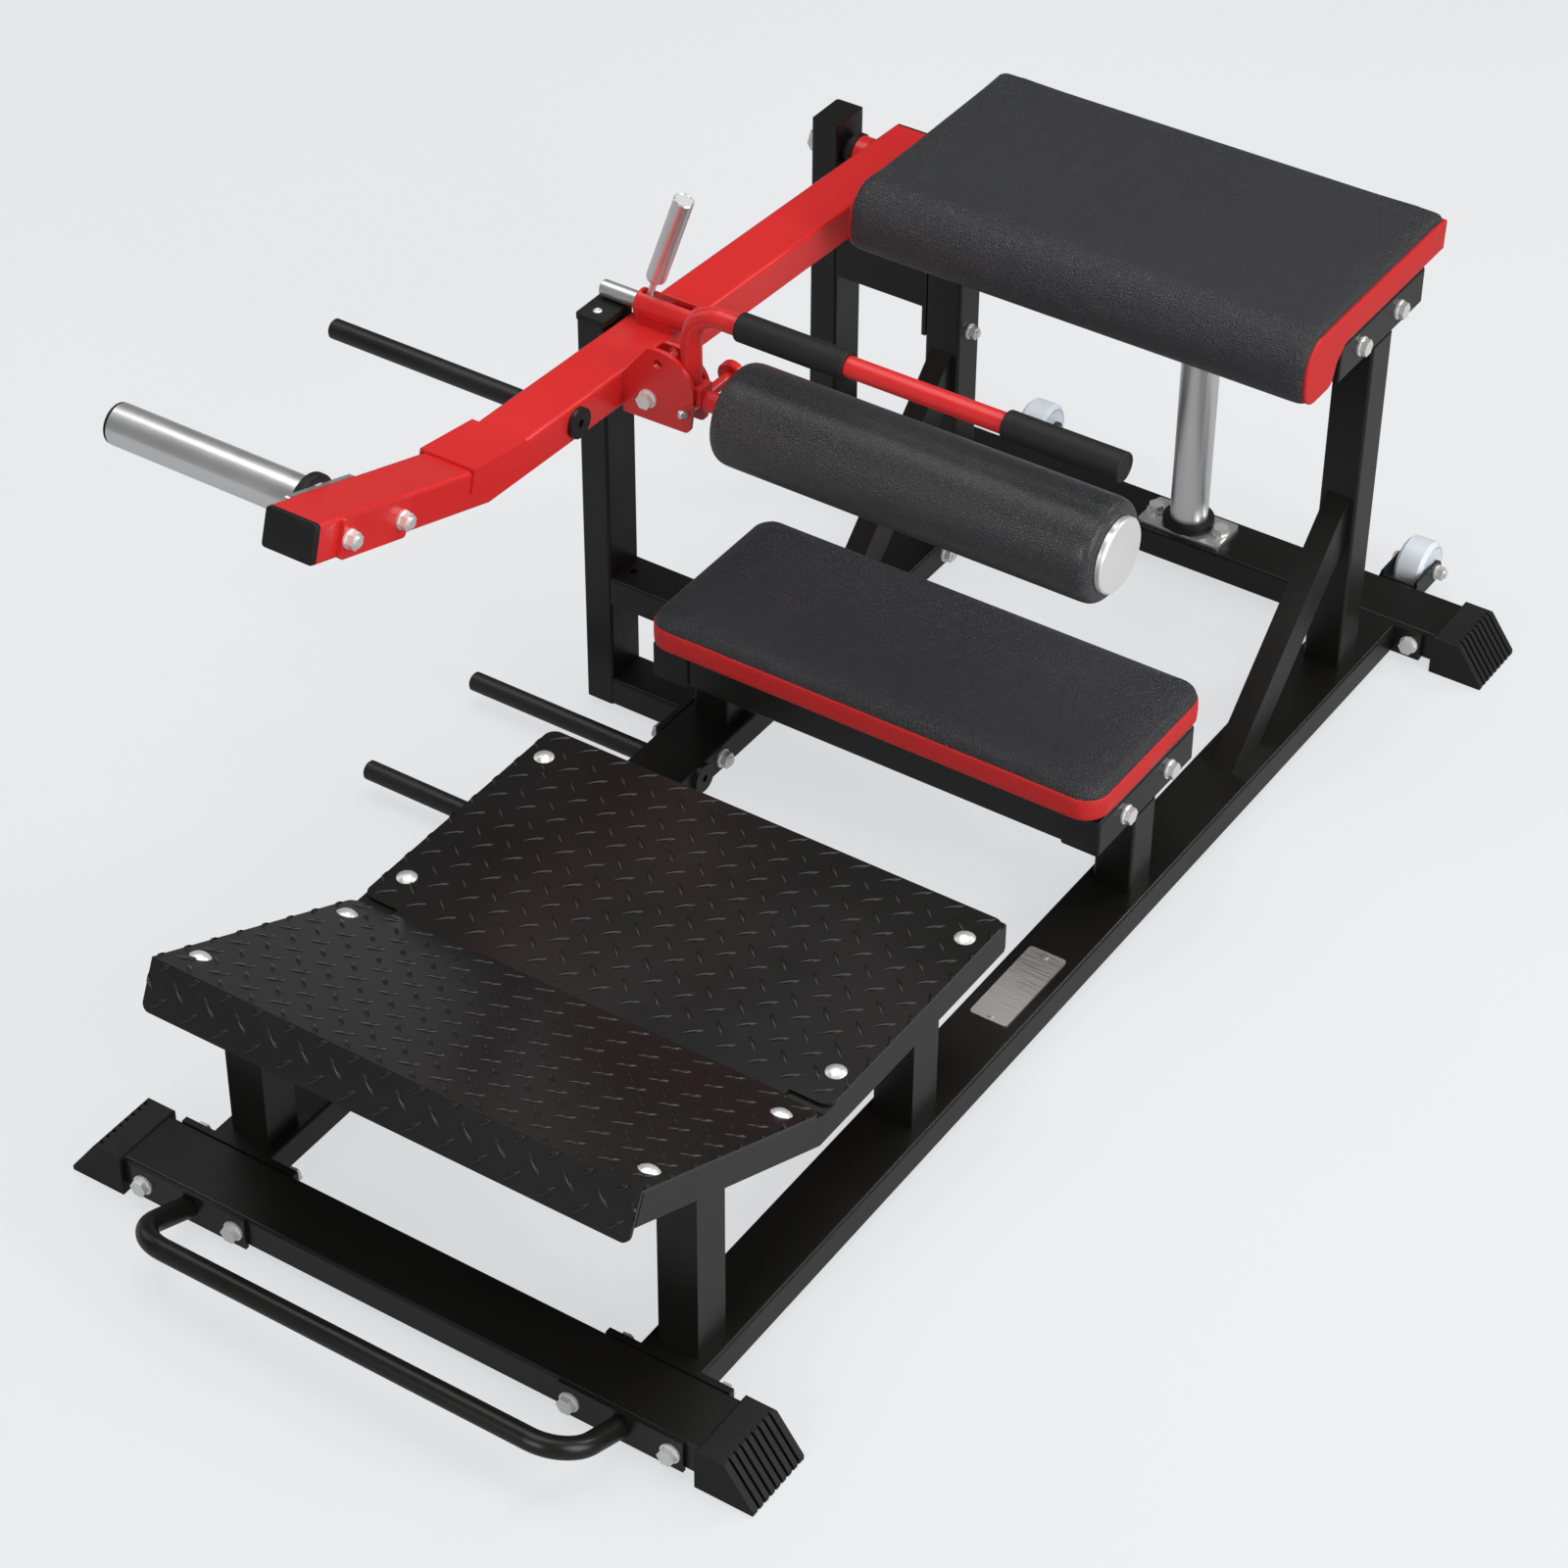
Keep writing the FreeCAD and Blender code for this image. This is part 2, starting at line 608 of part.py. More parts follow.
posts = []
for sx in (-1, 1):
    pb = new_body("deck_post_front_%d" % (sx + 1))
    y0, y1 = D("post_front_y") - D("post") / 2, D("post_front_y") + D("post") / 2
    zf = dt - dh / ca + (by - y0) * ta
    zb = dt - dh / ca + (by - y1) * ta
    sk = new_sketch(pb, "YZ_Plane")
    draw_poly(sk, [(y0, rail_top), (y1, rail_top), (y1, zb), (y0, zf)])
    pad(pb, sk, D("post"), mid=True)
    sk = new_sketch(pb, "XY_Plane", offset=rail_top)
    draw_rect(sk, D("post") - 2 * wall, D("post") - 2 * wall, 0, D("post_front_y"))
    cut(pb, sk, None, both=True)
    place(pb, (sx * (D("deck_bolt_x") - 1), 0, 0))
    posts.append(pb)
    pb = new_body("deck_post_rear_%d" % (sx + 1))
    sk = new_sketch(pb)
    draw_rect(sk, D("post"), D("post"))
    draw_rect(sk, D("post") - 2 * wall, D("post") - 2 * wall)
    pad(pb, sk, dt - dh - rail_top)
    place(pb, (sx * (D("deck_bolt_x") - 1), D("post_rear_y"), rail_top))
    posts.append(pb)
group("footplate_posts", posts)

ds, dhalf = D("deck_sheet"), D("deck_half")
# rear tread sheet, level
body = new_body("footplate_rear_panel")
sk = new_sketch(body)
y_lo, y_hi = by + 9, ry + 1
slot_x = dhalf - 50
draw_poly(sk, [(-dhalf, y_lo), (-slot_x, y_lo), (-slot_x, by + 1), (slot_x, by + 1), (slot_x, y_lo), (dhalf, y_lo), (dhalf, y_hi), (-dhalf, y_hi)])
for sx in (-1, 1):
    for yb in (by + 59, ry - 47):
        draw_circle(sk, 5.2, sx * D("deck_bolt_x"), yb)
pad(body, sk, ds)
round_edges(body, 14, lambda e: along(e, Z) and abs(abs(e.Vertexes[0].X) - dhalf.v) < 1e-3)
place(body, (0, 0, dt))
keep(body, "footplate_rear_panel")

# front tread sheet, rising, with a lip folded down square to it; drawn flat along its own slope
slope_len = (by - fy) / ca
body = new_body("footplate_front_panel")
sk = new_sketch(body)
# local x across, local y up the slope from the bend, local z square to the sheet
draw_poly(sk, [(-dhalf, 8), (-slot_x, 8), (-slot_x, 1), (slot_x, 1), (slot_x, 8), (dhalf, 8), (dhalf, slope_len + 6), (-dhalf, slope_len + 6)])
for sx in (-1, 1):
    for d in (52, 312):
        draw_circle(sk, 5.2, sx * D("deck_bolt_x"), d)
pad(body, sk, ds)
sk = new_sketch(body, offset=0.001)
draw_poly(sk, [(-dhalf, slope_len + 2), (dhalf, slope_len + 2), (dhalf, slope_len + 6), (-dhalf, slope_len + 6)])
pad(body, sk, D("lip_drop"), reverse=True)
round_edges(body, 12, lambda e: along(e, Z) and abs(e.Vertexes[0].Y - 8) < 0.01 and abs(abs(e.Vertexes[0].X) - dhalf.v) < 1e-3)
round_edges(body, 10, lambda e: along(e, Y) and min(v.Z for v in e.Vertexes) < -50)
# world: local y -> (0, -cos, sin), local z -> (0, sin, cos), local x -> -X
front_rot = Rotation(Vector(-1, 0, 0), Vector(0, -ca, sa), Vector(0, sa, ca), "ZXY")
place(body, (0, by, dt), front_rot)
keep(body, "footplate_front_panel")


def on_slope(x, d, h):
    return (x, values["deck_bend_y"] - d * ca + h * sa, values["deck_top"] + d * sa + h * ca)


screws = []
for sx in (-1, 1):
    for yb in (by + 59, ry - 47):
        screws.append(stud((sx * D("deck_bolt_x"), yb, dt + ds), UP, ds, 5, 12, 5))
    for d in (52, 312):
        screws.append(stud(on_slope(sx * values["deck_bolt_x"], d, values["deck_sheet"]), front_rot, ds, 5, 12, 5))
group("footplate_bolts", screws)

# --------------------------------------------------------------------- seat
sq = D("post")
sfl, sft = D("seat_frame_low"), D("seat_frame_top")
sh = sft - sfl
s_len = D("seat_rear_y") - D("seat_front_y")
bolt_y = (D("seat_post_y") - 50, D("seat_post_y") + 50)


def square_tube(label, w, h, t, length, pos, rot, x_holes=(), round_r=4):
    body = new_body(label)
    sk = new_sketch(body)
    w, h, t = q(w), q(h), q(t)
    draw_rect(sk, w, h)
    draw_rect(sk, w - 2 * t, h - 2 * t)
    pad(body, sk, length)
    if round_r:
        round_edges(body, round_r, lambda e: along(e, Z) and abs(abs(e.Vertexes[0].X) - w.v / 2) < 1e-4
                    and abs(abs(e.Vertexes[0].Y) - h.v / 2) < 1e-4)
    for u, r in x_holes:
        s2 = new_sketch(body, "YZ_Plane")
        draw_circle(s2, r, 0, u)
        cut(body, s2, None, both=True)
    place(body, pos, rot)
    return body


bxc = D("deck_bolt_x") - 1
items = []
for sx in (-1, 1):
    items.append(square_tube("seat_tube_%d" % (sx + 1), sq, sh, wall, s_len, (sx * bxc, D("seat_rear_y"), (sfl + sft) / 2), ALONG_NY,
                             x_holes=[(D("seat_rear_y") - y, D("bolt_hole_r")) for y in bolt_y]))
group("seat_tubes", items)
items = []
for yc in (D("seat_front_y") + D("seat_beam") / 2, D("seat_rear_y") - D("seat_beam") / 2):
    items.append(square_tube("seat_beam_%d" % int(yc.v), D("seat_beam"), sh, wall, 2 * (bxc - sq / 2), (-(bxc - sq / 2), yc, (sfl + sft) / 2), ALONG_X))
group("seat_beams", items)
items = []
for sx in (-1, 1):
    items.append(square_tube("seat_post_%d" % (sx + 1), sq, sq, wall, sfl - rail_top, (sx * bxc, D("seat_post_y"), rail_top), UP))
group("seat_posts", items)

scf, scr, shf = D("seat_cush_front"), D("seat_cush_rear"), D("seat_half")
seat_mid = (scf + scr) / 2
body = new_body("seat_board")
sk = new_sketch(body)
draw_rect(sk, 2 * shf - 16, scr - scf - 16)
pad(body, sk, D("seat_board"))
round_edges(body, D("seat_corner") - 8, lambda e: along(e, Z))
place(body, (0, seat_mid, sft))
keep(body, "seat_board")
body = new_body("seat_cushion")
sk = new_sketch(body)
draw_rect(sk, 2 * shf, scr - scf)
pad(body, sk, D("seat_top") - sft - D("seat_board"))
round_edges(body, D("seat_corner"), lambda e: along(e, Z))
top_v = (D("seat_top") - sft - D("seat_board")).v
round_edges(body, 10, lambda e: e.BoundBox.ZMin > top_v - 0.01)
place(body, (0, seat_mid, sft + D("seat_board")))
keep(body, "seat_cushion")

# ----------------------------------------------------------------- uprights
uy = D("upright_y")
ut = D("upright_top")


def upright(name, sx, holes):
    body = square_tube(name, sq, sq, wall, ut - rail_top, (sx * bxc, uy, rail_top), UP, x_holes=holes)
    return keep(body, name)


plate_low = D("link_low") - 23
bridge_bolts = (plate_low + 12, plate_low + 94)
upright("upright_left", -1, [(z - rail_top, 5.5) for z in bridge_bolts])
upright("upright_right", 1, [])

# diagonal braces at 45 degrees from the rail to the upright's front face
bd, bw = D("brace_deep"), D("brace_wide")
up_front = uy - sq / 2
items = []
for sx in (-1, 1):
    body = new_body("brace_%d" % (sx + 1))
    zt = D("brace_top_z")
    sk = new_sketch(body, "YZ_Plane")
    drop = bd * math.sqrt(2)
    run = zt - rail_top
    draw_poly(sk, [(up_front, zt), (up_front - run, rail_top), (up_front - run + drop, rail_top), (up_front, zt - drop)])
    pad(body, sk, bw, mid=True)
    place(body, (sx * D("brace_x"), 0, 0))
    core = new_body("brace_core_%d" % (sx + 1))
    sk = new_sketch(core, "YZ_Plane")
    t2 = wall * math.sqrt(2)
    draw_poly(sk, [(up_front - 0.001, zt - t2), (up_front - run + t2, rail_top + 0.001), (up_front - run + drop - t2, rail_top + 0.001), (up_front - 0.001, zt - drop + t2)])
    pad(core, sk, bw - 2 * wall, mid=True)
    place(core, (sx * D("brace_x"), 0, 0))
    items.append(minus("brace_h_%d" % (sx + 1), body, core))
group("diagonal_braces", items)

# ---------------------------------------------------------------- backrest
rf, rr, rt = D("rest_rail_front"), D("rest_rail_rear"), D("rest_rail_top")
back_bolts = (rf + 50, rf + 146)
items = []
for sx in (-1, 1):
    items.append(square_tube("back_rail_%d" % (sx + 1), sq, rt - ut, wall, rr - rf, (sx * bxc, rr, (rt + ut) / 2), ALONG_NY,
                             x_holes=[(rr - y, D("bolt_hole_r")) for y in back_bolts]))
group("backrest_rails", items)
pt, pf, pr, ph = D("pad_top"), D("pad_front"), D("pad_rear"), D("pad_half")
pb_t = D("pad_board")
nb, nl = D("pad_nose_back"), D("pad_nose_low")
body = new_body("backrest_board")
sk = new_sketch(body)
draw_poly(sk, [(12 - ph, nb + 24), (ph - 12, nb + 24), (ph - 12, pr - 12), (12 - ph, pr - 12)])
pad(body, sk, pb_t)
round_edges(body, 10, lambda e: along(e, Z))
place(body, (0, 0, rt))
keep(body, "backrest_board")
# cushion: level slab whose front edge rolls over and down; the board sits in a recess below
body = new_body("backrest_cushion")
sk = new_sketch(body, "YZ_Plane")
low = rt + 1
draw_poly(sk, [(pr, pt), (pf, pt), (pf, nl), (nb, nl), (nb + 20, low), (pr, low)])
pad(body, sk, 2 * ph, mid=True)
round_edges(body, 44, lambda e: along(e, X) and abs(e.Vertexes[0].Y - pf.v) < 0.01 and e.Vertexes[0].Z > pt.v - 1)
round_edges(body, 30, lambda e: along(e, X) and abs(e.Vertexes[0].Y - pf.v) < 0.01 and e.Vertexes[0].Z < nl.v + 1)
round_edges(body, 22, lambda e: along(e, X) and abs(e.Vertexes[0].Y - nb.v) < 0.01 and e.Vertexes[0].Z < nl.v + 1)
round_edges(body, 8, lambda e: along(e, X) and abs(e.Vertexes[0].Y - pr.v) < 0.01 and e.Vertexes[0].Z > pt.v - 1)
sk = new_sketch(body, "XY_Plane", offset=low)
draw_poly(sk, [(11.7 - ph, nb + 23.7), (ph - 11.7, nb + 23.7), (ph - 11.7, pr - 11.7), (11.7 - ph, pr - 11.7)])
cut(body, sk, pb_t - 0.7, reverse=True)
place(body, (0, 0, 0))
keep(body, "backrest_cushion")

# ------------------------------------------------------------- side posts
sw, sd = D("side_wide"), D("side_deep")
rail_out = D("rail_x") + rw / 2


def side_post(name, xc, yc, top, holes=()):
    body = new_body(name)
    sk = new_sketch(body)
    draw_rect(sk, sw, sd)
    draw_rect(sk, sw - 2 * wall, sd - 2 * wall)
    base = D("floor_gap")
    pad(body, sk, top - base)
    round_edges(body, 4, lambda e: along(e, Z) and abs(abs(e.Vertexes[0].X) - sw.v / 2) < 1e-4 and abs(abs(e.Vertexes[0].Y) - sd.v / 2) < 1e-4)
    sk = new_sketch(body, offset=top - base - 2)
    draw_rect(sk, sw - 2 * wall + 0.5, sd - 2 * wall + 0.5)
    pad(body, sk, 2)
    for z, r in holes:
        s2 = new_sketch(body, "YZ_Plane")
        draw_circle(s2, r, 0, z - base)
        cut(body, s2, None, both=True)
    place(body, (-xc, yc, base))
    return keep(body, name)


def outrigger(name, xc, yc, ends):
    """Floor-level tube from a side post to a flange on the left rail's outer face."""
    start = -(xc - sw / 2)
    length = (-(rail_out) - ft) - start
    us = [y - yc for y in ends]
    mid = (us[0] + us[1]) / 2
    return tube(name, sd, rh, wall, length, (start, yc, mid_z), ALONG_X,
                plates=[(length, ft, us[1] - us[0] + 30, rh, mid, 0, us, 0, D("bolt_hole_r"))])


side_post("rest_post", D("hold_x"), D("hold_y"), D("hold_top"))
side_post("pivot_post", D("tall_x"), D("tall_y"), D("tall_top"), holes=[(D("pivot_z"), D("pivot_hole_r"))])
outrigger("rest_outrigger", D("hold_x"), D("hold_y"), hold_bolts)
outrigger("pivot_outrigger", D("tall_x"), D("tall_y"), tall_bolts)
up_start = -(D("hold_x") - sw / 2)
body = new_body("rest_upper_tube")
sk = new_sketch(body)
draw_rect(sk, sd, rh)
draw_rect(sk, sd - 2 * wall, rh - 2 * wall)
pad(body, sk, -(bxc + sq / 2) - up_start)
round_edges(body, 4, lambda e: along(e, Z) and abs(abs(e.Vertexes[0].X) - sd.v / 2) < 1e-4 and abs(abs(e.Vertexes[0].Y) - rh.v / 2) < 1e-4)
s2 = new_sketch(body, "XZ_Plane", offset=-(rh / 2) - 1)
draw_circle(s2, 4.5, 0, 14)
cut(body, s2, wall + 2, reverse=False)
place(body, (up_start, D("hold_y"), D("upper_low") + rh / 2), ALONG_X)
keep(body, "rest_upper_tube")

# rubber pad on the rest post
body = new_body("rest_pad")
sk = new_sketch(body)
draw_rect(sk, sw + 2, sd + 2)
draw_circle(sk, 3.2, 0, -14)
pad(body, sk, D("latch_z") - D("latch_r") - 0.4 - D("hold_top"))
round_edges(body, 4, lambda e: along(e, Z) and abs(abs(e.Vertexes[0].X) - sw.v / 2 - 1) < 1e-3)
round_edges(body, 2, lambda e: e.BoundBox.ZMin > 8 and e.BoundBox.DiagonalLength > 8)
place(body, (-D("hold_x"), D("hold_y"), D("hold_top")))
keep(body, "rest_pad")

# bridge from the pivot post to the left upright, with its bolting plate
ll, lh, ld = D("link_low"), D("link_high"), D("link_deep")
bx0 = -(D("tall_x") - sw / 2)
bx1 = -(bxc + sq / 2)
b_len = bx1 - bx0 - 6
body = new_body("bridge_tube")
sk = new_sketch(body)
draw_rect(sk, ld, lh)
draw_rect(sk, ld - 2 * wall, lh - 2 * wall)
pad(body, sk, b_len)
round_edges(body, 4, lambda e: along(e, Z) and abs(abs(e.Vertexes[0].X) - ld.v / 2) < 1e-4 and abs(abs(e.Vertexes[0].Y) - lh.v / 2) < 1e-4)
sk = new_sketch(body, offset=b_len)
by_c = D("tall_y") - sd / 2 + ld / 2
y_a, y_b = (uy - sq / 2) - by_c, (by_c + ld / 2 + 2) - by_c
z_a = plate_low - (ll + lh / 2)
draw_poly(sk, [(y_a, z_a), (y_b, z_a), (y_b, z_a + 106), (y_a, z_a + 106)])
for z in bridge_bolts:
    draw_circle(sk, 5.5, uy - by_c, z - (ll + lh / 2))
pad(body, sk, 6)
place(body, (bx0, by_c, ll + lh / 2), ALONG_X)
keep(body, "bridge_tube")

# main pivot bolt with its bush, and spacer washers
pz = D("pivot_z")
left_face = -(D("tall_x") + sw / 2)
right_face = -(D("tall_x") - sw / 2)
arm_left = -(D("arm_x") + D("arm_wide") / 2)
arm_right = -(D("arm_x") - D("arm_wide") / 2)
hub_left = arm_left - D("hub_long")
pivot = bolt((left_face, D("tall_y"), pz), ALONG_X, arm_right - left_face + 0.6, r=D("pivot_r"), head=17, head_high=12, washer_r=19)
bush = doc.addObject("Part::Cut", "bush")
bush.Base = cylinder("bush_o", 18, 8, (right_face, D("tall_y"), pz), ALONG_X)
bush.Tool = cylinder("bush_i", D("pivot_r"), 8, (right_face, D("tall_y"), pz), ALONG_X)
wash = doc.addObject("Part::Cut", "pivot_washer")
w_len = hub_left - 0.6 - (right_face + 8)
wash.Base = cylinder("pw_o", 25, w_len, (right_face + 8, D("tall_y"), pz), ALONG_X)
wash.Tool = cylinder("pw_i", D("pivot_r"), w_len, (right_face + 8, D("tall_y"), pz), ALONG_X)
group("pivot_bolt", [pivot])
group("pivot_spacers", [bush, wash])


# ------------------------------------------------------------- tube plugs
plugs = []


def plug(pos, rot, w, h):
    """Plastic end plug: thin cap outside, hollow-section spigot inside (local +z goes into the tube)."""
    n = "plug%d" % len(plugs)
    w, h = q(w), q(h)
    body = new_body(n)
    sk = new_sketch(body, offset=-3)
    draw_rect(sk, w - 0.6, h - 0.6)
    pad(body, sk, 3)
    round_edges(body, 3, lambda e: along(e, Z))
    round_edges(body, 1.2, lambda e: e.BoundBox.ZMax < -2.99)
    sk = new_sketch(body, offset=-0.5)
    draw_rect(sk, w - 2 * wall - 0.6, h - 2 * wall - 0.6)
    pad(body, sk, 12.5)
    place(body, pos, rot)
    plugs.append(body)


for sx in (-1, 1):
    plug((sx * bxc, D("seat_front_y"), (sfl + sft) / 2), ALONG_Y, sq, sh)
    plug((sx * bxc, D("seat_rear_y"), (sfl + sft) / 2), ALONG_NY, sq, sh)
    plug((sx * bxc, rf, (rt + ut) / 2), ALONG_Y, sq, rt - ut)
    plug((sx * bxc, rr, (rt + ut) / 2), ALONG_NY, sq, rt - ut)
    plug((sx * bxc, ry, dt - dh / 2), ALONG_NY, dw, dh)
group("tube_plugs", plugs)

# ---------------------------------------------------------- storage horn
hr, hw, hl = D("horn_r"), D("horn_wall"), D("horn_long")
rg, rgt = D("ring_r"), D("ring_thick")
hp = D("horn_plate_thick")


def horn_tube(name, plate_long, plate_high, plate_t, bolt_off, length, pos, rot):
    """Loading horn: bolting plate with a tube standing on it (local z outward from the plate's back)."""
    body = new_body(name)
    sk = new_sketch(body)
    draw_rect(sk, plate_long, plate_high)
    for s in (-1, 1):
        draw_circle(sk, D("bolt_hole_r"), s * q(bolt_off), 0)
    pad(body, sk, plate_t)
    round_edges(body, 5, lambda e: along(e, Z) and abs(e.Vertexes[0].X) > 55)
    sk = new_sketch(body, offset=q(plate_t) - 1)
    draw_circle(sk, hr - 0.6)
    draw_circle(sk, hr - hw)
    pad(body, sk, rgt + 1)
    sk = new_sketch(body, offset=q(plate_t) + rgt)
    draw_circle(sk, hr)
    draw_circle(sk, hr - hw)
    pad(body, sk, q(length) - rgt)
    place(body, pos, rot)
    return keep(body, name)


def horn_ring(label, z, pos, rot):
    body = new_body(label)
    sk = new_sketch(body, offset=z)
    draw_circle(sk, rg)
    draw_circle(sk, hr - 0.3)
    pad(body, sk, rgt - 0.2)
    round_edges(body, 3, lambda e: e.BoundBox.XMax > rg.v - 0.2)
    place(body, pos, rot)
    return body


def horn_cap(label, z, pos, rot):
    body = new_body(label)
    sk = new_sketch(body, offset=z)
    draw_circle(sk, hr - 0.4)
    pad(body, sk, 5)
    round_edges(body, 2.5, lambda e: e.BoundBox.ZMin > q(z).v + 4.9)
    sk = new_sketch(body, offset=z + 0.5)
    draw_circle(sk, hr - hw - 0.3)
    pad(body, sk, 18.5, reverse=True)
    place(body, pos, rot)
    return body


store_pos = (0, D("store_y"), rail_top)
store_rot = UP
horn_tube("storage_horn", D("store_plate_long"), D("store_plate_wide"), 5, D("store_bolt"), hl, store_pos, store_rot)
group("storage_horn_rubber", [horn_ring("store_ring", q(5), store_pos, store_rot), horn_cap("store_cap", hl + 5, store_pos, store_rot)])

# -------------------------------------------------------------- band pegs


def peg(label, length, through, pos, rot):
    """Band peg: long round rod, slightly thinner where it passes through a tube, with a wider dimpled disc against
    the tube's far face; local z starts at the disc's outer face."""
    dr, dtk, r = D("peg_disc_r"), D("peg_disc_thick"), D("peg_r")
    body = new_body(label)
    sk = new_sketch(body, "XZ_Plane")
    seat = r - 0.2
    draw_poly(sk, [(5, 0), (dr, 0), (dr, dtk), (seat, dtk), (seat, dtk + q(through)), (r, dtk + q(through)),
                   (r, q(length) - 2), (r - 2, length), (0, length), (0, 5), (5, 5)])
    f = body.newObject("PartDesign::Revolution", "T_" + label)
    f.Profile = sk
    f.ReferenceAxis = (sk, ["V_Axis"])
    f.Angle = 360
    body.Tip = f
    place(body, pos, rot)
    return body


rail_in = D("rail_x") - rw / 2
p_len = D("peg_long") + rw + D("peg_disc_thick")
group("rail_band_pegs", [peg("peg_a", p_len, rw, (D("peg_disc_thick") - rail_in, D("peg_front_y"), D("peg_z")), ALONG_NX),
                         peg("peg_b", p_len, rw, (D("peg_disc_thick") - rail_in, D("peg_rear_y"), D("peg_z")), ALONG_NX)])

# ---------------------------------------------------------- wheel forks
wy, wz, wr, ww, war = D("wheel_y"), D("wheel_z"), D("wheel_r"), D("wheel_wide"), D("wheel_axle_r")
rear_face = D("rear_y") + rw / 2
forks = []
for sx in (-1, 1):
    xc = sx * D("rail_x")
    bits = [box("fork_back%d" % sx, ww + 16, 4, rh, (xc - ww / 2 - 8, rear_face, D("floor_gap")))]
    for sc in (-1, 1):
        x0 = xc - ww / 2 - 7 if sc < 0 else xc + ww / 2 + 3
        bits.append(box("fork_cheek%d%d" % (sx, sc), 4, wy - rear_face - 2, 30, (x0, rear_face + 2, wz - 15)))
        bits.append(cylinder("fork_round%d%d" % (sx, sc), 15, 4, (x0, wy, wz), ALONG_X))
    forks.append(minus("fork%d" % sx, fuse("fork_f%d" % sx, bits), cylinder("fork_bore%d" % sx, war + 0.3, ww + 40, (xc - ww / 2 - 20, wy, wz), ALONG_X)))
group("wheel_forks", forks)


def wheel(name, sx):
    return turned(name, [(war + 0.06, -ww / 2 - 2.5), (13, -ww / 2 - 2.5), (13, -ww / 2), (wr - 9, -ww / 2), (wr - 9, -ww / 2 + 4), (wr - 5, -ww / 2), (wr, -ww / 2 + 5),
                         (wr, ww / 2 - 5), (wr - 5, ww / 2), (wr - 9, ww / 2 - 4), (wr - 9, ww / 2), (13, ww / 2), (13, ww / 2 + 2.5), (war + 0.06, ww / 2 + 2.5)],
                  (sx * D("rail_x"), wy, wz), ALONG_X)


wheel("wheel_left", -1)
wheel("wheel_right", 1)

# ------------------------------------------------------------ frame bolts
items = []
for s1 in (-1, 1):
    for s2 in (-1, 1):
        xb = s1 * D("rail_x") + s2 * fb
        items.append(bolt((xb, -plate_t, mid_z), ALONG_Y, rw + ft + plate_t))
        items.append(bolt((xb, rail_to - ft, mid_z), ALONG_Y, rw + ft))
for y in hold_bolts + tall_bolts:
    items.append(bolt((-rail_out - ft, y, mid_z), ALONG_X, rw + ft))
for y in bolt_y:
    items.append(bolt((-(bxc + sq / 2), y, (sfl + sft) / 2), ALONG_X, sq))
    items.append(bolt((bxc + sq / 2, y, (sfl + sft) / 2), ALONG_NX, sq))
for y in back_bolts:
    items.append(bolt((-(bxc + sq / 2), y, (rt + ut) / 2), ALONG_X, sq))
    items.append(bolt((bxc + sq / 2, y, (rt + ut) / 2), ALONG_NX, sq))
for z in bridge_bolts:
    items.append(bolt((bx1 - 6, uy, z), ALONG_X, sq + 6, r=5, head=9, head_high=6.5, washer_r=10.4))
for s in (-1, 1):
    items.append(bolt((s * D("store_bolt"), D("store_y"), rail_top + 5), DOWN, 5 + wall))
    items.append(bolt((s * D("rail_x") - ww / 2 - 7, wy, wz), ALONG_X, ww + 14, r=war, head=9, head_high=5.5, washer_r=10))
group("frame_bolts", items)

# ==================================================================== arm
aw, ah, at = D("arm_wide"), D("arm_high"), D("arm_wall")
ry_, rz_ = D("arm_rear_y"), D("arm_rear_z")
ey, ez = D("elbow_y"), D("elbow_z")
ay, az = D("arm_front_y"), D("arm_front_z")
len1 = math.hypot(ey.v - ry_.v, ez.v - rz_.v)
d1 = ((ey.v - ry_.v) / len1, (ez.v - rz_.v) / len1)
len2 = math.hypot(ay.v - ey.v, az.v - ez.v)
d2 = ((ay.v - ey.v) / len2, (az.v - ez.v) / len2)
n1 = (d1[1], -d1[0])
n2 = (d2[1], -d2[0])
mx, mz = n1[0] + n2[0], n1[1] + n2[1]
ml = math.hypot(mx, mz)
mcos = (mx * n1[0] + mz * n1[1]) / ml
m = (mx / ml / mcos, mz / ml / mcos)


def arm_outline(half, back=0.0):
    """Outline of the bent arm at a distance from its centre line; the ends may run on by 'back'."""
    h = q(half)
    return [(ry_ - d1[0] * back + h * n1[0], rz_ - d1[1] * back + h * n1[1]), (ey + h * m[0], ez + h * m[1]),
            (ay + d2[0] * back + h * n2[0], az + d2[1] * back + h * n2[1]), (ay + d2[0] * back - h * n2[0], az + d2[1] * back - h * n2[1]),
            (ey - h * m[0], ez - h * m[1]), (ry_ - d1[0] * back - h * n1[0], rz_ - d1[1] * back - h * n1[1])]


def arm_line(y, h=0.0):
    """Height over y of a line parallel to the long part's centre line, h above it."""
    yc = rz_.v + (y - ry_.v) * d1[1] / d1[0]
    return yc + h / abs(n1[1])


beam = new_body("arm_beam_outer")
sk = new_sketch(beam, "YZ_Plane")
draw_poly(sk, arm_outline(ah / 2))
pad(beam, sk, aw, mid=True)
round_edges(beam, 5, lambda e: e.BoundBox.YLength > 150 and abs(abs(e.Vertexes[0].X) - aw.v / 2) < 1e-3)
place(beam, (-D("arm_x"), 0, 0))
inner = new_body("arm_beam_inner")
sk = new_sketch(inner, "YZ_Plane")
draw_poly(sk, arm_outline(ah / 2 - at, 5.0))
pad(inner, sk, aw - 2 * at, mid=True)
place(inner, (-D("arm_x"), 0, 0))
shell = minus("arm_shell", beam, inner)
hub = cylinder("arm_hub", D("hub_r"), D("hub_long"), (hub_left, D("tall_y"), pz), ALONG_X)
liner = cylinder("arm_liner", 17, aw, (arm_left, D("tall_y"), pz), ALONG_X)
solid = fuse("arm_solid", [shell, hub, liner])
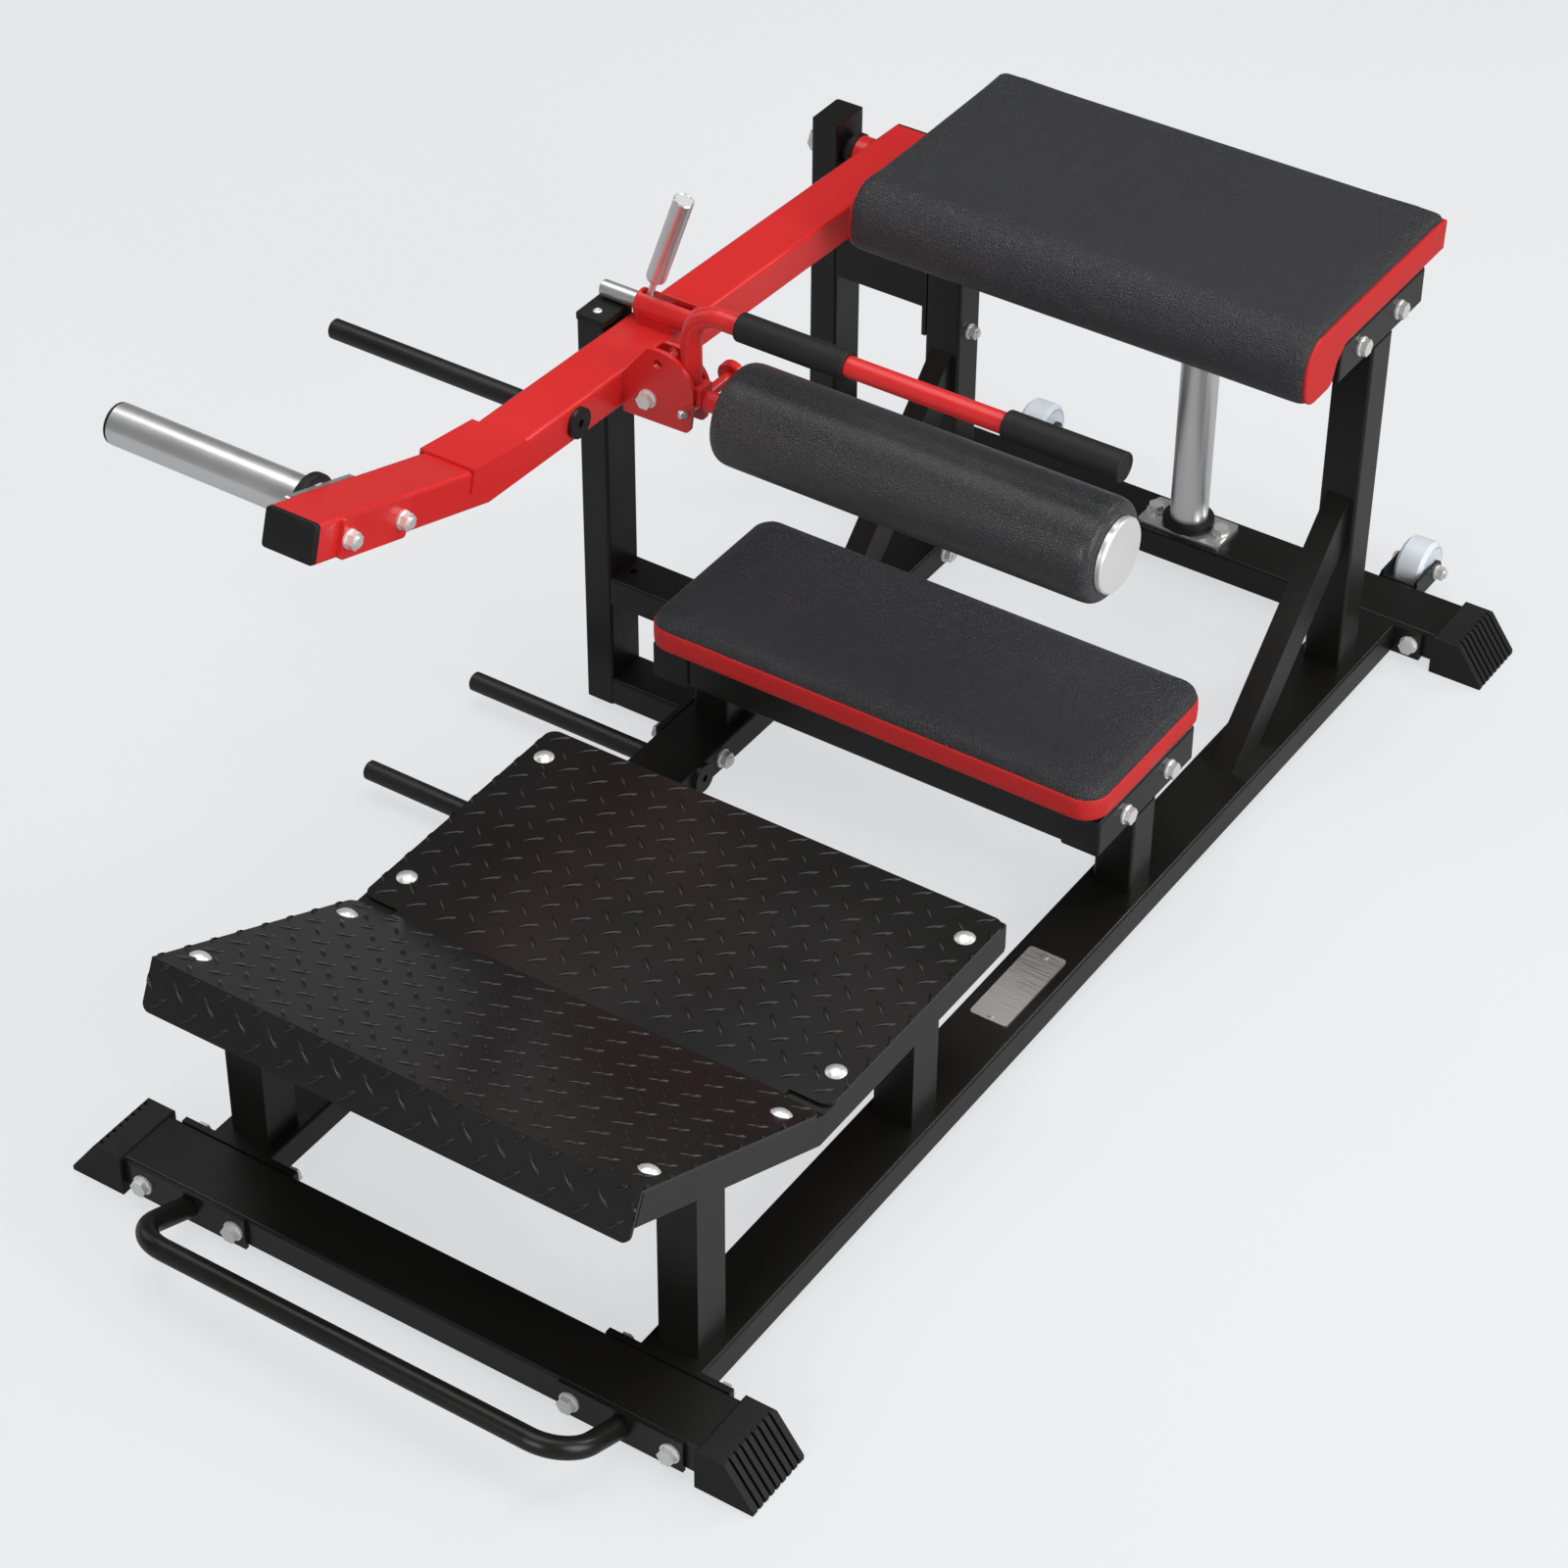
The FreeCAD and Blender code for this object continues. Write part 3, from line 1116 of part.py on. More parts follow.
apy, apz = D("arm_peg_y"), D("arm_peg_z")
horn_pts = []
for s in (-1, 1):
    horn_pts.append((D("horn_y") - s * D("horn_bolt") * d2[0], D("horn_z") - s * D("horn_bolt") * d2[1]))
tools = [cylinder("arm_bore", D("pivot_hole_r"), aw + D("hub_long") + 20, (hub_left - 10, D("tall_y"), pz), ALONG_X),
         cylinder("arm_peg_bore", D("peg_r") + 0.3, aw + 20, (arm_left - 10, apy, apz), ALONG_X)]
for i, (yy, zz) in enumerate(horn_pts):
    tools.append(cylinder("arm_horn_bore%d" % i, D("bolt_hole_r"), aw + 20, (arm_left - 10, yy, zz), ALONG_X))
keep(minus("arm_beam_cut", solid, fuse("arm_tools", tools)), "arm_beam")

# elbow cover: folded sheet over the bend
cy0, cy1 = 634.0, 736.0
cap_t = 3.0


def off(pt, nrm, h):
    return (pt[0] + nrm[0] * h, pt[1] + nrm[1] * h)


def front_point(y):
    """Centre-line point of the rising part at y."""
    t = (y - ey.v) / d2[0]
    return (y, ez.v + t * d2[1])


def long_point(y):
    t = (y - ey.v) / d1[0]
    return (y, ez.v + t * d1[1])


hh = ah.v / 2
pa, pb2 = front_point(cy0), long_point(cy1)
top_f, top_b = off(pa, n2, hh + 0.3), off(pb2, n1, hh + 0.3)
mid_top = (ey.v + m[0] * (hh + 0.3), ez.v + m[1] * (hh + 0.3))
out_f, out_b = off(pa, n2, hh + 3.3), off(pb2, n1, hh + 3.3)
out_m = (ey.v + m[0] * (hh + 3.3), ez.v + m[1] * (hh + 3.3))
low_f, low_b = off(pa, n2, -2.0), off(pb2, n1, -2.0)
cover = new_body("arm_cover")
sk = new_sketch(cover, "YZ_Plane")
draw_poly(sk, [out_f, out_b, low_b, low_f])
pad(cover, sk, aw + 2 * cap_t + 0.6, mid=True)
place(cover, (-D("arm_x"), 0, 0))
core = new_body("arm_cover_core")
sk = new_sketch(core, "YZ_Plane")
far = 60.0
draw_poly(sk, [(top_f[0] - 40, top_f[1] + 40 * 0.3134), mid_top, (top_b[0] + 40, top_b[1] - 40 * 0.045), (top_b[0] + 40, low_b[1] - far), (top_f[0] - 40, low_f[1] - far)])
pad(core, sk, aw + 0.6, mid=True)
place(core, (-D("arm_x"), 0, 0))
keep(minus("arm_cover_cut", cover, core), "arm_sleeve")

# plastic plugs closing the arm tube
front_out = Rotation(Vector(1, 0, 0), Vector(0, -d2[1], d2[0]), Vector(0, -d2[0], -d2[1]), "ZXY")
body = new_body("arm_end_cap")
sk = new_sketch(body, offset=-6)
draw_rect(sk, aw - 0.4, ah - 0.4)
pad(body, sk, 6)
round_edges(body, 5, lambda e: along(e, Z))
round_edges(body, 2, lambda e: e.BoundBox.ZMax < -5.99)
sk = new_sketch(body, offset=-0.5)
draw_rect(sk, aw - 2 * at - 0.6, ah - 2 * at - 0.6)
pad(body, sk, 20.5)
place(body, (-D("arm_x"), ay, az), front_out)
rear_in = Rotation(Vector(1, 0, 0), Vector(0, d1[1], -d1[0]), Vector(0, d1[0], d1[1]), "ZXY")
body2 = new_body("arm_rear_cap")
sk = new_sketch(body2, offset=-4)
draw_rect(sk, aw - 0.4, ah - 0.4)
pad(body2, sk, 4)
round_edges(body2, 5, lambda e: along(e, Z))
sk = new_sketch(body2, offset=-0.5)
draw_rect(sk, aw - 2 * at - 0.6, ah - 2 * at - 0.6)
pad(body2, sk, 16.5)
place(body2, (-D("arm_x"), ry_, rz_), rear_in)
group("arm_end_caps", [body, body2])

# loading horn on the arm's left face; local z points left, local x runs up the arm
arm_out = Rotation(Vector(0, d2[0], d2[1]), Vector(0, d2[1], -d2[0]), Vector(-1, 0, 0), "ZXY")
horn_pos = (arm_left, D("horn_y"), D("horn_z"))
horn_tube("horn", D("horn_plate_long"), D("horn_plate_high"), hp, D("horn_bolt"), hl, horn_pos, arm_out)
keep(horn_ring("horn_ring_b", hp, horn_pos, arm_out), "horn_ring")
keep(horn_cap("horn_cap_b", hp + hl, horn_pos, arm_out), "horn_cap")
back = new_body("horn_back")
sk = new_sketch(back)
draw_rect(sk, D("horn_plate_long") - 2, D("horn_plate_high") + 1)
for s in (-1, 1):
    draw_circle(sk, D("bolt_hole_r"), s * D("horn_bolt"), 0)
pad(back, sk, hp)
round_edges(back, 5, lambda e: along(e, Z) and abs(e.Vertexes[0].X) > 50)
place(back, (arm_right + hp, D("horn_y"), D("horn_z")), arm_out)
keep(back, "horn_backing_plate")

keep(peg("arm_peg", D("arm_peg_long") + aw + D("peg_disc_thick"), aw, (arm_right + D("peg_disc_thick"), apy, apz), ALONG_NX), "arm_band_peg")

# sector plates: pivot of the roller frame and its two lock positions
sx0, sz0, sy0 = D("swing_x"), D("swing_z"), D("swing_y")
st, sg = D("sector_thick"), D("sector_gap")
lr = D("lock_radius")
la = math.radians(values["lock_angle"])
lock_low = (sx0 + lr, sz0)
lock_high = (sx0 + lr * math.cos(la), sz0 + lr * math.sin(la))


def sector(label, y_start, top):
    body = new_body(label)
    sk = new_sketch(body, "XZ_Plane")
    draw_poly(sk, [(arm_right, sz0 + 22), (sx0, sz0 + top), (sx0 + 68, sz0 + top), (sx0 + 57, sz0 - 29), (arm_right, sz0 - 31)])
    draw_circle(sk, D("swing_hole_r") + 0.02, sx0, sz0)
    draw_circle(sk, D("lock_hole_r") + 0.02, lock_low[0], lock_low[1])
    draw_circle(sk, D("lock_hole_r") + 0.02, lock_high[0], lock_high[1])
    pad(body, sk, st, reverse=True)
    corner = sx0.v + 68
    round_edges(body, 46, lambda e: along(e, Y) and abs(e.Vertexes[0].X - corner) < 0.01)
    round_edges(body, 8, lambda e: along(e, Y) and abs(e.Vertexes[0].X - (sx0.v + 57)) < 0.01)
    round_edges(body, 10, lambda e: along(e, Y) and abs(e.Vertexes[0].X - sx0.v) < 0.01 and e.Vertexes[0].Z > sz0.v + 50)
    place(body, (0, y_start, 0))
    return body


group("sector_plates", [sector("sector_a", sy0 - sg / 2 - st, 68), sector("sector_b", sy0 + sg / 2, 58.5)])

# latch housing: bored barrel with a slot, on a saddle welded to the arm's top
lx, ly, lz = D("latch_left"), D("latch_y"), D("latch_z")
lhr, lcr = D("latch_house_r"), D("latch_hole_r")
house_len = lx - D("latch_right")
barrel = cylinder("latch_barrel", lhr, house_len, (-lx, ly, lz), ALONG_X)
saddle = new_body("latch_saddle")
sk = new_sketch(saddle, "YZ_Plane")
s0, s1 = ly.v - 13, ly.v + 13
draw_poly(sk, [(s0, arm_line(s0, hh)), (s1, arm_line(s1, hh)), (s1, lz.v - 6), (s0, lz.v - 6)])
pad(saddle, sk, lx + arm_right)
place(saddle, (-lx, 0, 0))
house = fuse("latch_house_f", [barrel, saddle])
bore = cylinder("latch_bore", lcr, house_len + 20, (-lx - 10, ly, lz), ALONG_X)
slot = box("latch_slot", 72, 12, 40, (-lx + 4, ly - 6, lz))
keep(minus("latch_house_c", house, fuse("latch_cutters", [bore, slot])), "latch_housing")

# arm fasteners: horn bolts, the roller frame's pivot bolt and its domed washer
items = []
for yy, zz in horn_pts:
    items.append(bolt((arm_left - hp, yy, zz), ALONG_X, aw + 2 * hp, washer_r=11.6))
pos = (sx0, sy0 - sg / 2 - st, sz0)
items.append(bolt(pos, ALONG_Y, sg + 2 * st, r=D("swing_r"), head=10.4, head_high=9, washer_r=11.8))
group("arm_bolts", items)

# ================================================================= latch
lpr = D("latch_r")
lp_len = 95.0
lean = math.atan2(51, 146)
lev_dir = Vector(math.sin(lean), 0, math.cos(lean))
lev_rot = Rotation(Vector(math.cos(lean), 0, -math.sin(lean)), Vector(0, 1, 0), lev_dir, "ZXY")
lev_base = (-398 - 14 * math.tan(lean), 0, 604 - 14)
pin = turned("_latch_pin_body", [(0, 0), (lpr - 2, 0), (lpr, 2), (lpr, lp_len - 1), (lpr - 1, lp_len), (0, lp_len)], (-467, ly, lz), ALONG_X)
keep(minus("latch_pin_c", pin, cylinder("latch_pin_hole", 4.05, 40, (lev_base[0], ly, q(lev_base[2])), lev_rot)), "latch_pin")
turned("latch_lever", [(0, 0.5), (4, 0.5), (4, 33), (6, 35), (11, 37), (12.3, 40), (12.3, 162.5), (11, 164), (10.2, 164), (9.6, 163.2), (0, 163.2)],
       (lev_base[0], ly, q(lev_base[2])), lev_rot)

# ============================================================ roller frame
lt = D("lever_thick")
gb_r, gb_z, gb_x, gb_e = D("grip_bar_r"), D("grip_bar_z"), D("grip_bar_x"), D("grip_bar_end")
lever_hub = cylinder("lever_hub", 18, sg - 0.8, (sx0, sy0 - sg / 2 + 0.4, sz0), ALONG_Y)
lever_rise = D("lock_r") + 0.6
lever_block = box("lever_block", 60, lt, 24, (sx0 + 8, sy0 - lt / 2, sz0 + lever_rise))
axle = cylinder("lever_axle", D("axle_r"), D("roller_right") - 3 + 254, (sx0 + 68, D("roller_y"), D("roller_z")), ALONG_X)
lev_bore = cylinder("lever_bore", D("swing_hole_r"), 60, (sx0, sy0 - 30, sz0), ALONG_Y)
hub_seat = cylinder("lever_hub_seat", 18, 60, (sx0, sy0 - 30, sz0), ALONG_Y)
group("roller_lever", [minus("lever_hub_bored", lever_hub, lev_bore), minus("lever_block_fitted", lever_block, hub_seat), axle])

bend = 40.0
block_top = sz0 + lever_rise + 24


def bar(tag, r, grow):
    up = cylinder("bar_up" + tag, r, gb_z - bend - block_top + grow, (gb_x, sy0, block_top - grow), UP)
    tor = doc.addObject("Part::Torus", "bar_bend" + tag)
    tor.Radius1 = bend
    setq(tor, "Radius2", r)
    tor.Angle3 = 90
    place(tor, (gb_x + bend, sy0, gb_z - bend), ALONG_Y)
    across = cylinder("bar_run" + tag, r, gb_e - (gb_x + bend) + grow, (gb_x + bend, sy0, gb_z), ALONG_X)
    return fuse("bar" + tag, [up, tor, across])


keep(minus("handle_tube_c", bar("_o", gb_r, 0), bar("_i", gb_r - 2.5, 1)), "handle_tube")

grip_r = D("grip_r")
g1 = turned("_grip_a", [(gb_r + 0.3, 0), (grip_r - 2, 0), (grip_r, 2), (grip_r, 143), (grip_r - 2, 145), (gb_r + 0.3, 145)], (-207, sy0, gb_z), ALONG_X)
g2_from = 142
g2_len = 291 - g2_from
g2 = turned("_grip_b", [(gb_r + 0.3, 0), (grip_r - 2, 0), (grip_r, 2), (grip_r, g2_len - 2), (grip_r - 2, g2_len), (0, g2_len), (0, 146.3), (gb_r + 0.3, 146.3)],
            (g2_from, sy0, gb_z), ALONG_X)
group("handle_grips", [g1, g2])

# ================================================================= roller
rl, rrt, rrad, rz = D("roller_left"), D("roller_right"), D("roller_r"), D("roller_z")
cr = D("core_r")
r_len = rrt - rl
turned("roller_foam", [(cr + 0.3, 0), (rrad - 6, 0), (rrad - 1.8, 1.8), (rrad, 6), (rrad, r_len - 6), (rrad - 1.8, r_len - 1.8), (rrad - 6, r_len), (cr + 0.3, r_len)],
       (rl, D("roller_y"), rz), ALONG_X)
turned("roller_core", [(D("axle_r") + 0.06, -3), (cr, -3), (cr, r_len + 0.4), (45, r_len + 0.4), (45, r_len + 6), (43, r_len + 8), (0, r_len + 8), (0, r_len - 2.4), (D("axle_r") + 0.06, r_len - 2.4)],
       (rl, D("roller_y"), rz), ALONG_X)

# =============================================================== lock pin
turned("lock_pin", [(0, 0), (3, 0), (D("lock_r"), 4), (D("lock_r"), 50.4), (7, 50.4), (7, 100), (15, 100), (17, 102), (17, 111), (15, 113), (0, 113)],
       (lock_low[0], 914, lock_low[1]), ALONG_Y)

# ------------------------------------------------- layout point to frame
for name, obj in SUBPARTS:
    bound = dict(obj.ExpressionEngine)
    for axis in ("x", "y"):
        old = bound.get(".Placement.Base." + axis, bound.get("Placement.Base." + axis))
        if old is None:
            old = q(getattr(obj.Placement.Base, axis)).e
        obj.setExpression(".Placement.Base." + axis, "%s + Dim.datum_%s" % (old, axis))

# ------------------------------------------------------------------ export
doc.recompute()
bad = []
for obj in doc.Objects:
    if any(word in obj.State for word in ("Invalid", "Error")):
        bad.append("%s: %s" % (obj.Label, obj.State))
for name, obj in SUBPARTS:
    if obj.Shape.isNull() or not obj.Shape.isValid():
        bad.append("%s: no valid shape" % name)
if bad:
    raise RuntimeError("; ".join(bad))
if len(SUBPARTS) > 60 or len(set(n for n, o in SUBPARTS)) != len(SUBPARTS):
    raise RuntimeError("sub-part names")
os.makedirs("parts", exist_ok=True)
for name, obj in SUBPARTS:
    bb = obj.Shape.BoundBox
    print(name, len(obj.Shape.Solids), [round(v, 1) for v in (bb.XMin, bb.XMax, bb.YMin, bb.YMax, bb.ZMin, bb.ZMax)])
    obj.Shape.exportStep("parts/%s.step" % name)
print(len(SUBPARTS), "sub-parts")
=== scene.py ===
import bpy, bmesh, json, math
from mathutils import Vector, Matrix, noise


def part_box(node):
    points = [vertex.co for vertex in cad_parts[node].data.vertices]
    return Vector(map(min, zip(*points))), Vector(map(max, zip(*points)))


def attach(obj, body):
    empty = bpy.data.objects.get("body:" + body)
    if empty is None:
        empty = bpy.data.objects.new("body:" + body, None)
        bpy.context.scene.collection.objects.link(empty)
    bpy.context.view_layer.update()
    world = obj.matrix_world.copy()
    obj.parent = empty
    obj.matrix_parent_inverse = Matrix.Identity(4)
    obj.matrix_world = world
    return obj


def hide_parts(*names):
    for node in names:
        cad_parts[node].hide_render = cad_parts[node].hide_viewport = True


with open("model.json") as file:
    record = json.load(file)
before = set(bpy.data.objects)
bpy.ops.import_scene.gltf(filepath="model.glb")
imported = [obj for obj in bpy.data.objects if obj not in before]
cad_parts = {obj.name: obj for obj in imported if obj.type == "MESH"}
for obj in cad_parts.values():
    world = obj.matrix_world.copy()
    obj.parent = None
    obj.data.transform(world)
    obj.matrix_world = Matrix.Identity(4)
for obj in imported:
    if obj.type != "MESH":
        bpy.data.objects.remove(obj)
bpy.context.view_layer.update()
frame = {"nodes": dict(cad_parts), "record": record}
NODES = frame["nodes"]
scene = bpy.context.scene


# Layout millimetres (x between the rails, y from the front cross member's front face) to the row frame in metres.
_lo, _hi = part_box("front_crossmember")
OX, OY = (_lo.x + _hi.x) / 2, _lo.y


def L(x, y, z):
    return Vector((OX + x / 1000.0, OY + y / 1000.0, z / 1000.0))


# ------------------------------------------------------------------ materials
class Mat:
    def __init__(self, name):
        self.m = bpy.data.materials.new(name)
        self.m.use_nodes = True
        self.nt = self.m.node_tree
        self.nt.nodes.clear()
        self.out = self.nt.nodes.new("ShaderNodeOutputMaterial")
        self.p = self.nt.nodes.new("ShaderNodeBsdfPrincipled")
        self.nt.links.new(self.p.outputs[0], self.out.inputs[0])
        self.tc = self.nt.nodes.new("ShaderNodeTexCoord")

    def n(self, kind, **kw):
        node = self.nt.nodes.new(kind)
        for k, v in kw.items():
            setattr(node, k, v)
        return node

    def link(self, a, b):
        self.nt.links.new(a, b)

    def coords(self, scale=(1, 1, 1), rot=(0, 0, 0)):
        mp = self.n("ShaderNodeMapping")
        mp.inputs["Scale"].default_value = scale
        mp.inputs["Rotation"].default_value = rot
        self.link(self.tc.outputs["Object"], mp.inputs[0])
        return mp.outputs[0]

    def noise(self, scale, detail=2.0, rough=0.5, vec=None, distortion=0.0):
        t = self.n("ShaderNodeTexNoise")
        t.inputs["Scale"].default_value = scale
        t.inputs["Detail"].default_value = detail
        t.inputs["Roughness"].default_value = rough
        t.inputs["Distortion"].default_value = distortion
        self.link(vec if vec is not None else self.tc.outputs["Object"], t.inputs["Vector"])
        return t.outputs["Fac"]

    def voronoi(self, scale, feature="F1", vec=None, randomness=1.0):
        t = self.n("ShaderNodeTexVoronoi", feature=feature)
        t.inputs["Scale"].default_value = scale
        t.inputs["Randomness"].default_value = randomness
        self.link(vec if vec is not None else self.tc.outputs["Object"], t.inputs["Vector"])
        return t.outputs["Distance"]

    def ramp(self, fac, stops):
        r = self.n("ShaderNodeValToRGB")
        el = r.color_ramp.elements
        while len(el) < len(stops):
            el.new(0.5)
        for e, (pos, col) in zip(el, stops):
            e.position = pos
            e.color = (*col, 1) if len(col) == 3 else col
        self.link(fac, r.inputs[0])
        return r.outputs[0]

    def span(self, fac, lo, hi, f0=0.0, f1=1.0):
        r = self.n("ShaderNodeMapRange")
        r.inputs["From Min"].default_value = f0
        r.inputs["From Max"].default_value = f1
        r.inputs["To Min"].default_value = lo
        r.inputs["To Max"].default_value = hi
        self.link(fac, r.inputs[0])
        return r.outputs[0]

    def math(self, op, a, b=None, clamp=False):
        r = self.n("ShaderNodeMath", operation=op, use_clamp=clamp)
        for i, v in enumerate((a, b)):
            if v is None:
                continue
            if isinstance(v, (int, float)):
                r.inputs[i].default_value = v
            else:
                self.link(v, r.inputs[i])
        return r.outputs[0]

    def mix(self, fac, a, b, kind="MIX"):
        r = self.n("ShaderNodeMix", data_type="RGBA", blend_type=kind)
        for i, v in ((0, fac), (6, a), (7, b)):
            if isinstance(v, (int, float)):
                r.inputs[i].default_value = v
            elif isinstance(v, tuple):
                r.inputs[i].default_value = (*v, 1)
            else:
                self.link(v, r.inputs[i])
        return r.outputs[2]

    def bump(self, height, distance, strength=1.0, normal=None):
        b = self.n("ShaderNodeBump")
        b.inputs["Strength"].default_value = strength
        b.inputs["Distance"].default_value = distance
        self.link(height, b.inputs["Height"])
        if normal is not None:
            self.link(normal, b.inputs["Normal"])
        return b.outputs[0]

    def base(self, v):
        if isinstance(v, tuple):
            self.p.inputs["Base Color"].default_value = (*v, 1)
        else:
            self.link(v, self.p.inputs["Base Color"])

    def rough(self, v):
        if isinstance(v, (int, float)):
            self.p.inputs["Roughness"].default_value = v
        else:
            self.link(v, self.p.inputs["Roughness"])

    def normal(self, v):
        self.link(v, self.p.inputs["Normal"])


def powder(name, dark, light, r_lo, r_hi, spec=0.5, coat=0.0, grain=0.00010, scuff=(0.05, 0.05, 0.05)):
    """Powder coat: fine orange peel, slow sheen changes, dust and faint scuffs."""
    k = Mat(name)
    slow = k.noise(5.0, 3.0, 0.55)
    fine = k.noise(900.0, 2.0, 0.6)
    peel = k.noise(260.0, 1.5, 0.5)
    scr = k.noise(38.0, 6.0, 0.72, vec=k.coords((1, 1, 4.0)))
    col = k.mix(slow, dark, light)
    scratch = k.ramp(scr, [(0.0, (0, 0, 0)), (0.70, (0, 0, 0)), (0.80, (1, 1, 1))])
    col = k.mix(k.math("MULTIPLY", scratch, 0.35), col, scuff)
    k.base(col)
    k.rough(k.math("ADD", k.span(slow, r_lo, r_hi, 0.3, 0.7), k.math("MULTIPLY", k.math("SUBTRACT", fine, 0.5), 0.10)))
    k.p.inputs["Specular IOR Level"].default_value = spec
    k.p.inputs["Coat Weight"].default_value = coat
    k.p.inputs["Coat Roughness"].default_value = 0.22
    k.normal(k.bump(fine, 0.00006, 0.45, k.bump(peel, grain, 0.5)))
    return k.m


def metal(name, color, r_lo, r_hi, streak=(1, 1, 1), scale=60.0, bump=0.00003, dirt=None, metallic=1.0):
    k = Mat(name)
    s = k.noise(scale, 1.5, 0.5, vec=k.coords(streak))
    cloud = k.noise(9.0, 3.0, 0.5)
    k.p.inputs["Metallic"].default_value = metallic
    dark = tuple(c * 0.82 for c in color)
    col = k.mix(cloud, dark, color)
    if dirt is not None:
        spots = k.ramp(k.noise(70.0, 5.0, 0.65), [(0.0, (0, 0, 0)), (0.62, (0, 0, 0)), (0.78, (1, 1, 1))])
        col = k.mix(k.math("MULTIPLY", spots, 0.5), col, dirt)
    k.base(col)
    k.rough(k.span(s, r_lo, r_hi, 0.3, 0.7))
    k.normal(k.bump(s, bump, 0.35))
    return k.m


def leather(name, dark, light, r_lo=0.46, r_hi=0.60, grain=420.0, depth=0.00042, sheen=0.0, spec=0.5, coat=0.0):
    """Grained upholstery: pebble cells, pores, slow cloudiness where the cover is handled."""
    k = Mat(name)
    wob = k.noise(60.0, 2.0, 0.5)
    warp = k.n("ShaderNodeVectorMath", operation="ADD")
    sc = k.n("ShaderNodeVectorMath", operation="SCALE")
    ncol = k.n("ShaderNodeTexNoise")
    ncol.inputs["Scale"].default_value = 150.0
    ncol.inputs["Detail"].default_value = 2.0
    k.link(k.tc.outputs["Object"], ncol.inputs["Vector"])
    k.link(ncol.outputs["Color"], sc.inputs[0])
    sc.inputs["Scale"].default_value = 0.0016
    k.link(k.tc.outputs["Object"], warp.inputs[0])
    k.link(sc.outputs[0], warp.inputs[1])
    cells = k.voronoi(grain, "DISTANCE_TO_EDGE", vec=warp.outputs[0])
    small = k.voronoi(grain * 2.4, "F1", vec=warp.outputs[0])
    cell_h = k.ramp(cells, [(0.0, (0, 0, 0)), (0.12, (0.50, 0.50, 0.50)), (0.42, (1, 1, 1))])
    slow = k.noise(7.0, 4.0, 0.6)
    tint = k.mix(slow, dark, light)
    tint = k.mix(k.math("MULTIPLY", cell_h, 0.55), tuple(c * 0.55 for c in dark), tint)
    tint = k.mix(0.25, tint, k.mix(wob, dark, light))
    k.base(tint)
    k.rough(k.math("ADD", k.span(slow, r_lo, r_hi, 0.3, 0.7), k.math("MULTIPLY", k.math("SUBTRACT", 0.6, cell_h), 0.10)))
    k.p.inputs["Specular IOR Level"].default_value = spec
    k.p.inputs["Coat Weight"].default_value = coat
    k.p.inputs["Coat Roughness"].default_value = 0.36
    k.p.inputs["Sheen Weight"].default_value = sheen
    k.p.inputs["Sheen Roughness"].default_value = 0.5
    k.normal(k.bump(cell_h, depth, 0.9, k.bump(small, depth * 0.35, 0.5, k.bump(k.noise(16.0, 2.0, 0.5), 0.0006, 0.2))))
    return k.m


def rubber(name, dark, light, r=0.62, rib=None):
    k = Mat(name)
    slow = k.noise(14.0, 4.0, 0.6)
    fine = k.noise(700.0, 2.0, 0.6)
    dust = k.ramp(k.noise(45.0, 6.0, 0.7), [(0.0, (0, 0, 0)), (0.55, (0, 0, 0)), (0.80, (1, 1, 1))])
    col = k.mix(k.math("MULTIPLY", dust, 0.30), k.mix(slow, dark, light), (0.040, 0.040, 0.038))
    k.base(col)
    k.p.inputs["Specular IOR Level"].default_value = 0.30
    k.rough(k.math("ADD", k.span(slow, r - 0.08, r + 0.08, 0.3, 0.7), k.math("MULTIPLY", dust, 0.12)))
    k.normal(k.bump(fine, 0.00012, 0.5))
    return k.m


M = {}
M["frame_paint"] = powder("powder_black", (0.0068, 0.0064, 0.0060), (0.0105, 0.0099, 0.0093), 0.28, 0.38, spec=0.34, scuff=(0.018, 0.017, 0.016))
M["tread_paint"] = powder("powder_black_tread", (0.0090, 0.0086, 0.0083), (0.0130, 0.0125, 0.0121), 0.21, 0.28, spec=0.42, scuff=(0.022, 0.020, 0.019))
M["arm_paint"] = powder("powder_red", (0.60, 0.019, 0.019), (0.69, 0.024, 0.024), 0.26, 0.36, spec=0.42, coat=0.10, scuff=(0.50, 0.016, 0.016))
M["chrome"] = metal("satin_chrome", (0.90, 0.90, 0.90), 0.30, 0.35, streak=(1, 1, 0.25), scale=28, bump=0.000008, metallic=0.88)
M["zinc"] = metal("zinc_plate", (0.94, 0.94, 0.93), 0.27, 0.37, scale=60, bump=0.000015, dirt=(0.60, 0.59, 0.57), metallic=0.60)
M["badge_metal"] = metal("brushed_badge", (0.62, 0.61, 0.605), 0.42, 0.60, streak=(1, 40, 1), scale=30, bump=0.00006)
M["black_rubber"] = rubber("rubber_black", (0.0060, 0.0060, 0.0058), (0.0100, 0.0100, 0.0097))
M["black_plastic"] = rubber("plastic_black", (0.006, 0.006, 0.006), (0.010, 0.010, 0.010), r=0.42)
M["peg_coat"] = powder("peg_black", (0.0060, 0.0058, 0.0056), (0.0100, 0.0096, 0.0092), 0.34, 0.46, spec=0.45)
M["upholstery"] = leather("leather_black", (0.0275, 0.0279, 0.0315), (0.0375, 0.0382, 0.0432), r_lo=0.37, r_hi=0.47, grain=330.0, depth=0.0013, coat=0.08)
M["upholstery_red"] = leather("leather_red", (0.70, 0.019, 0.019), (0.80, 0.025, 0.025), r_lo=0.46, r_hi=0.58, grain=420.0, depth=0.00022, spec=0.30)
M["roller_cover"] = leather("leather_roller", (0.0255, 0.0258, 0.0285), (0.0355, 0.0362, 0.0402), r_lo=0.34, r_hi=0.42, grain=320.0, depth=0.0015, coat=0.45)


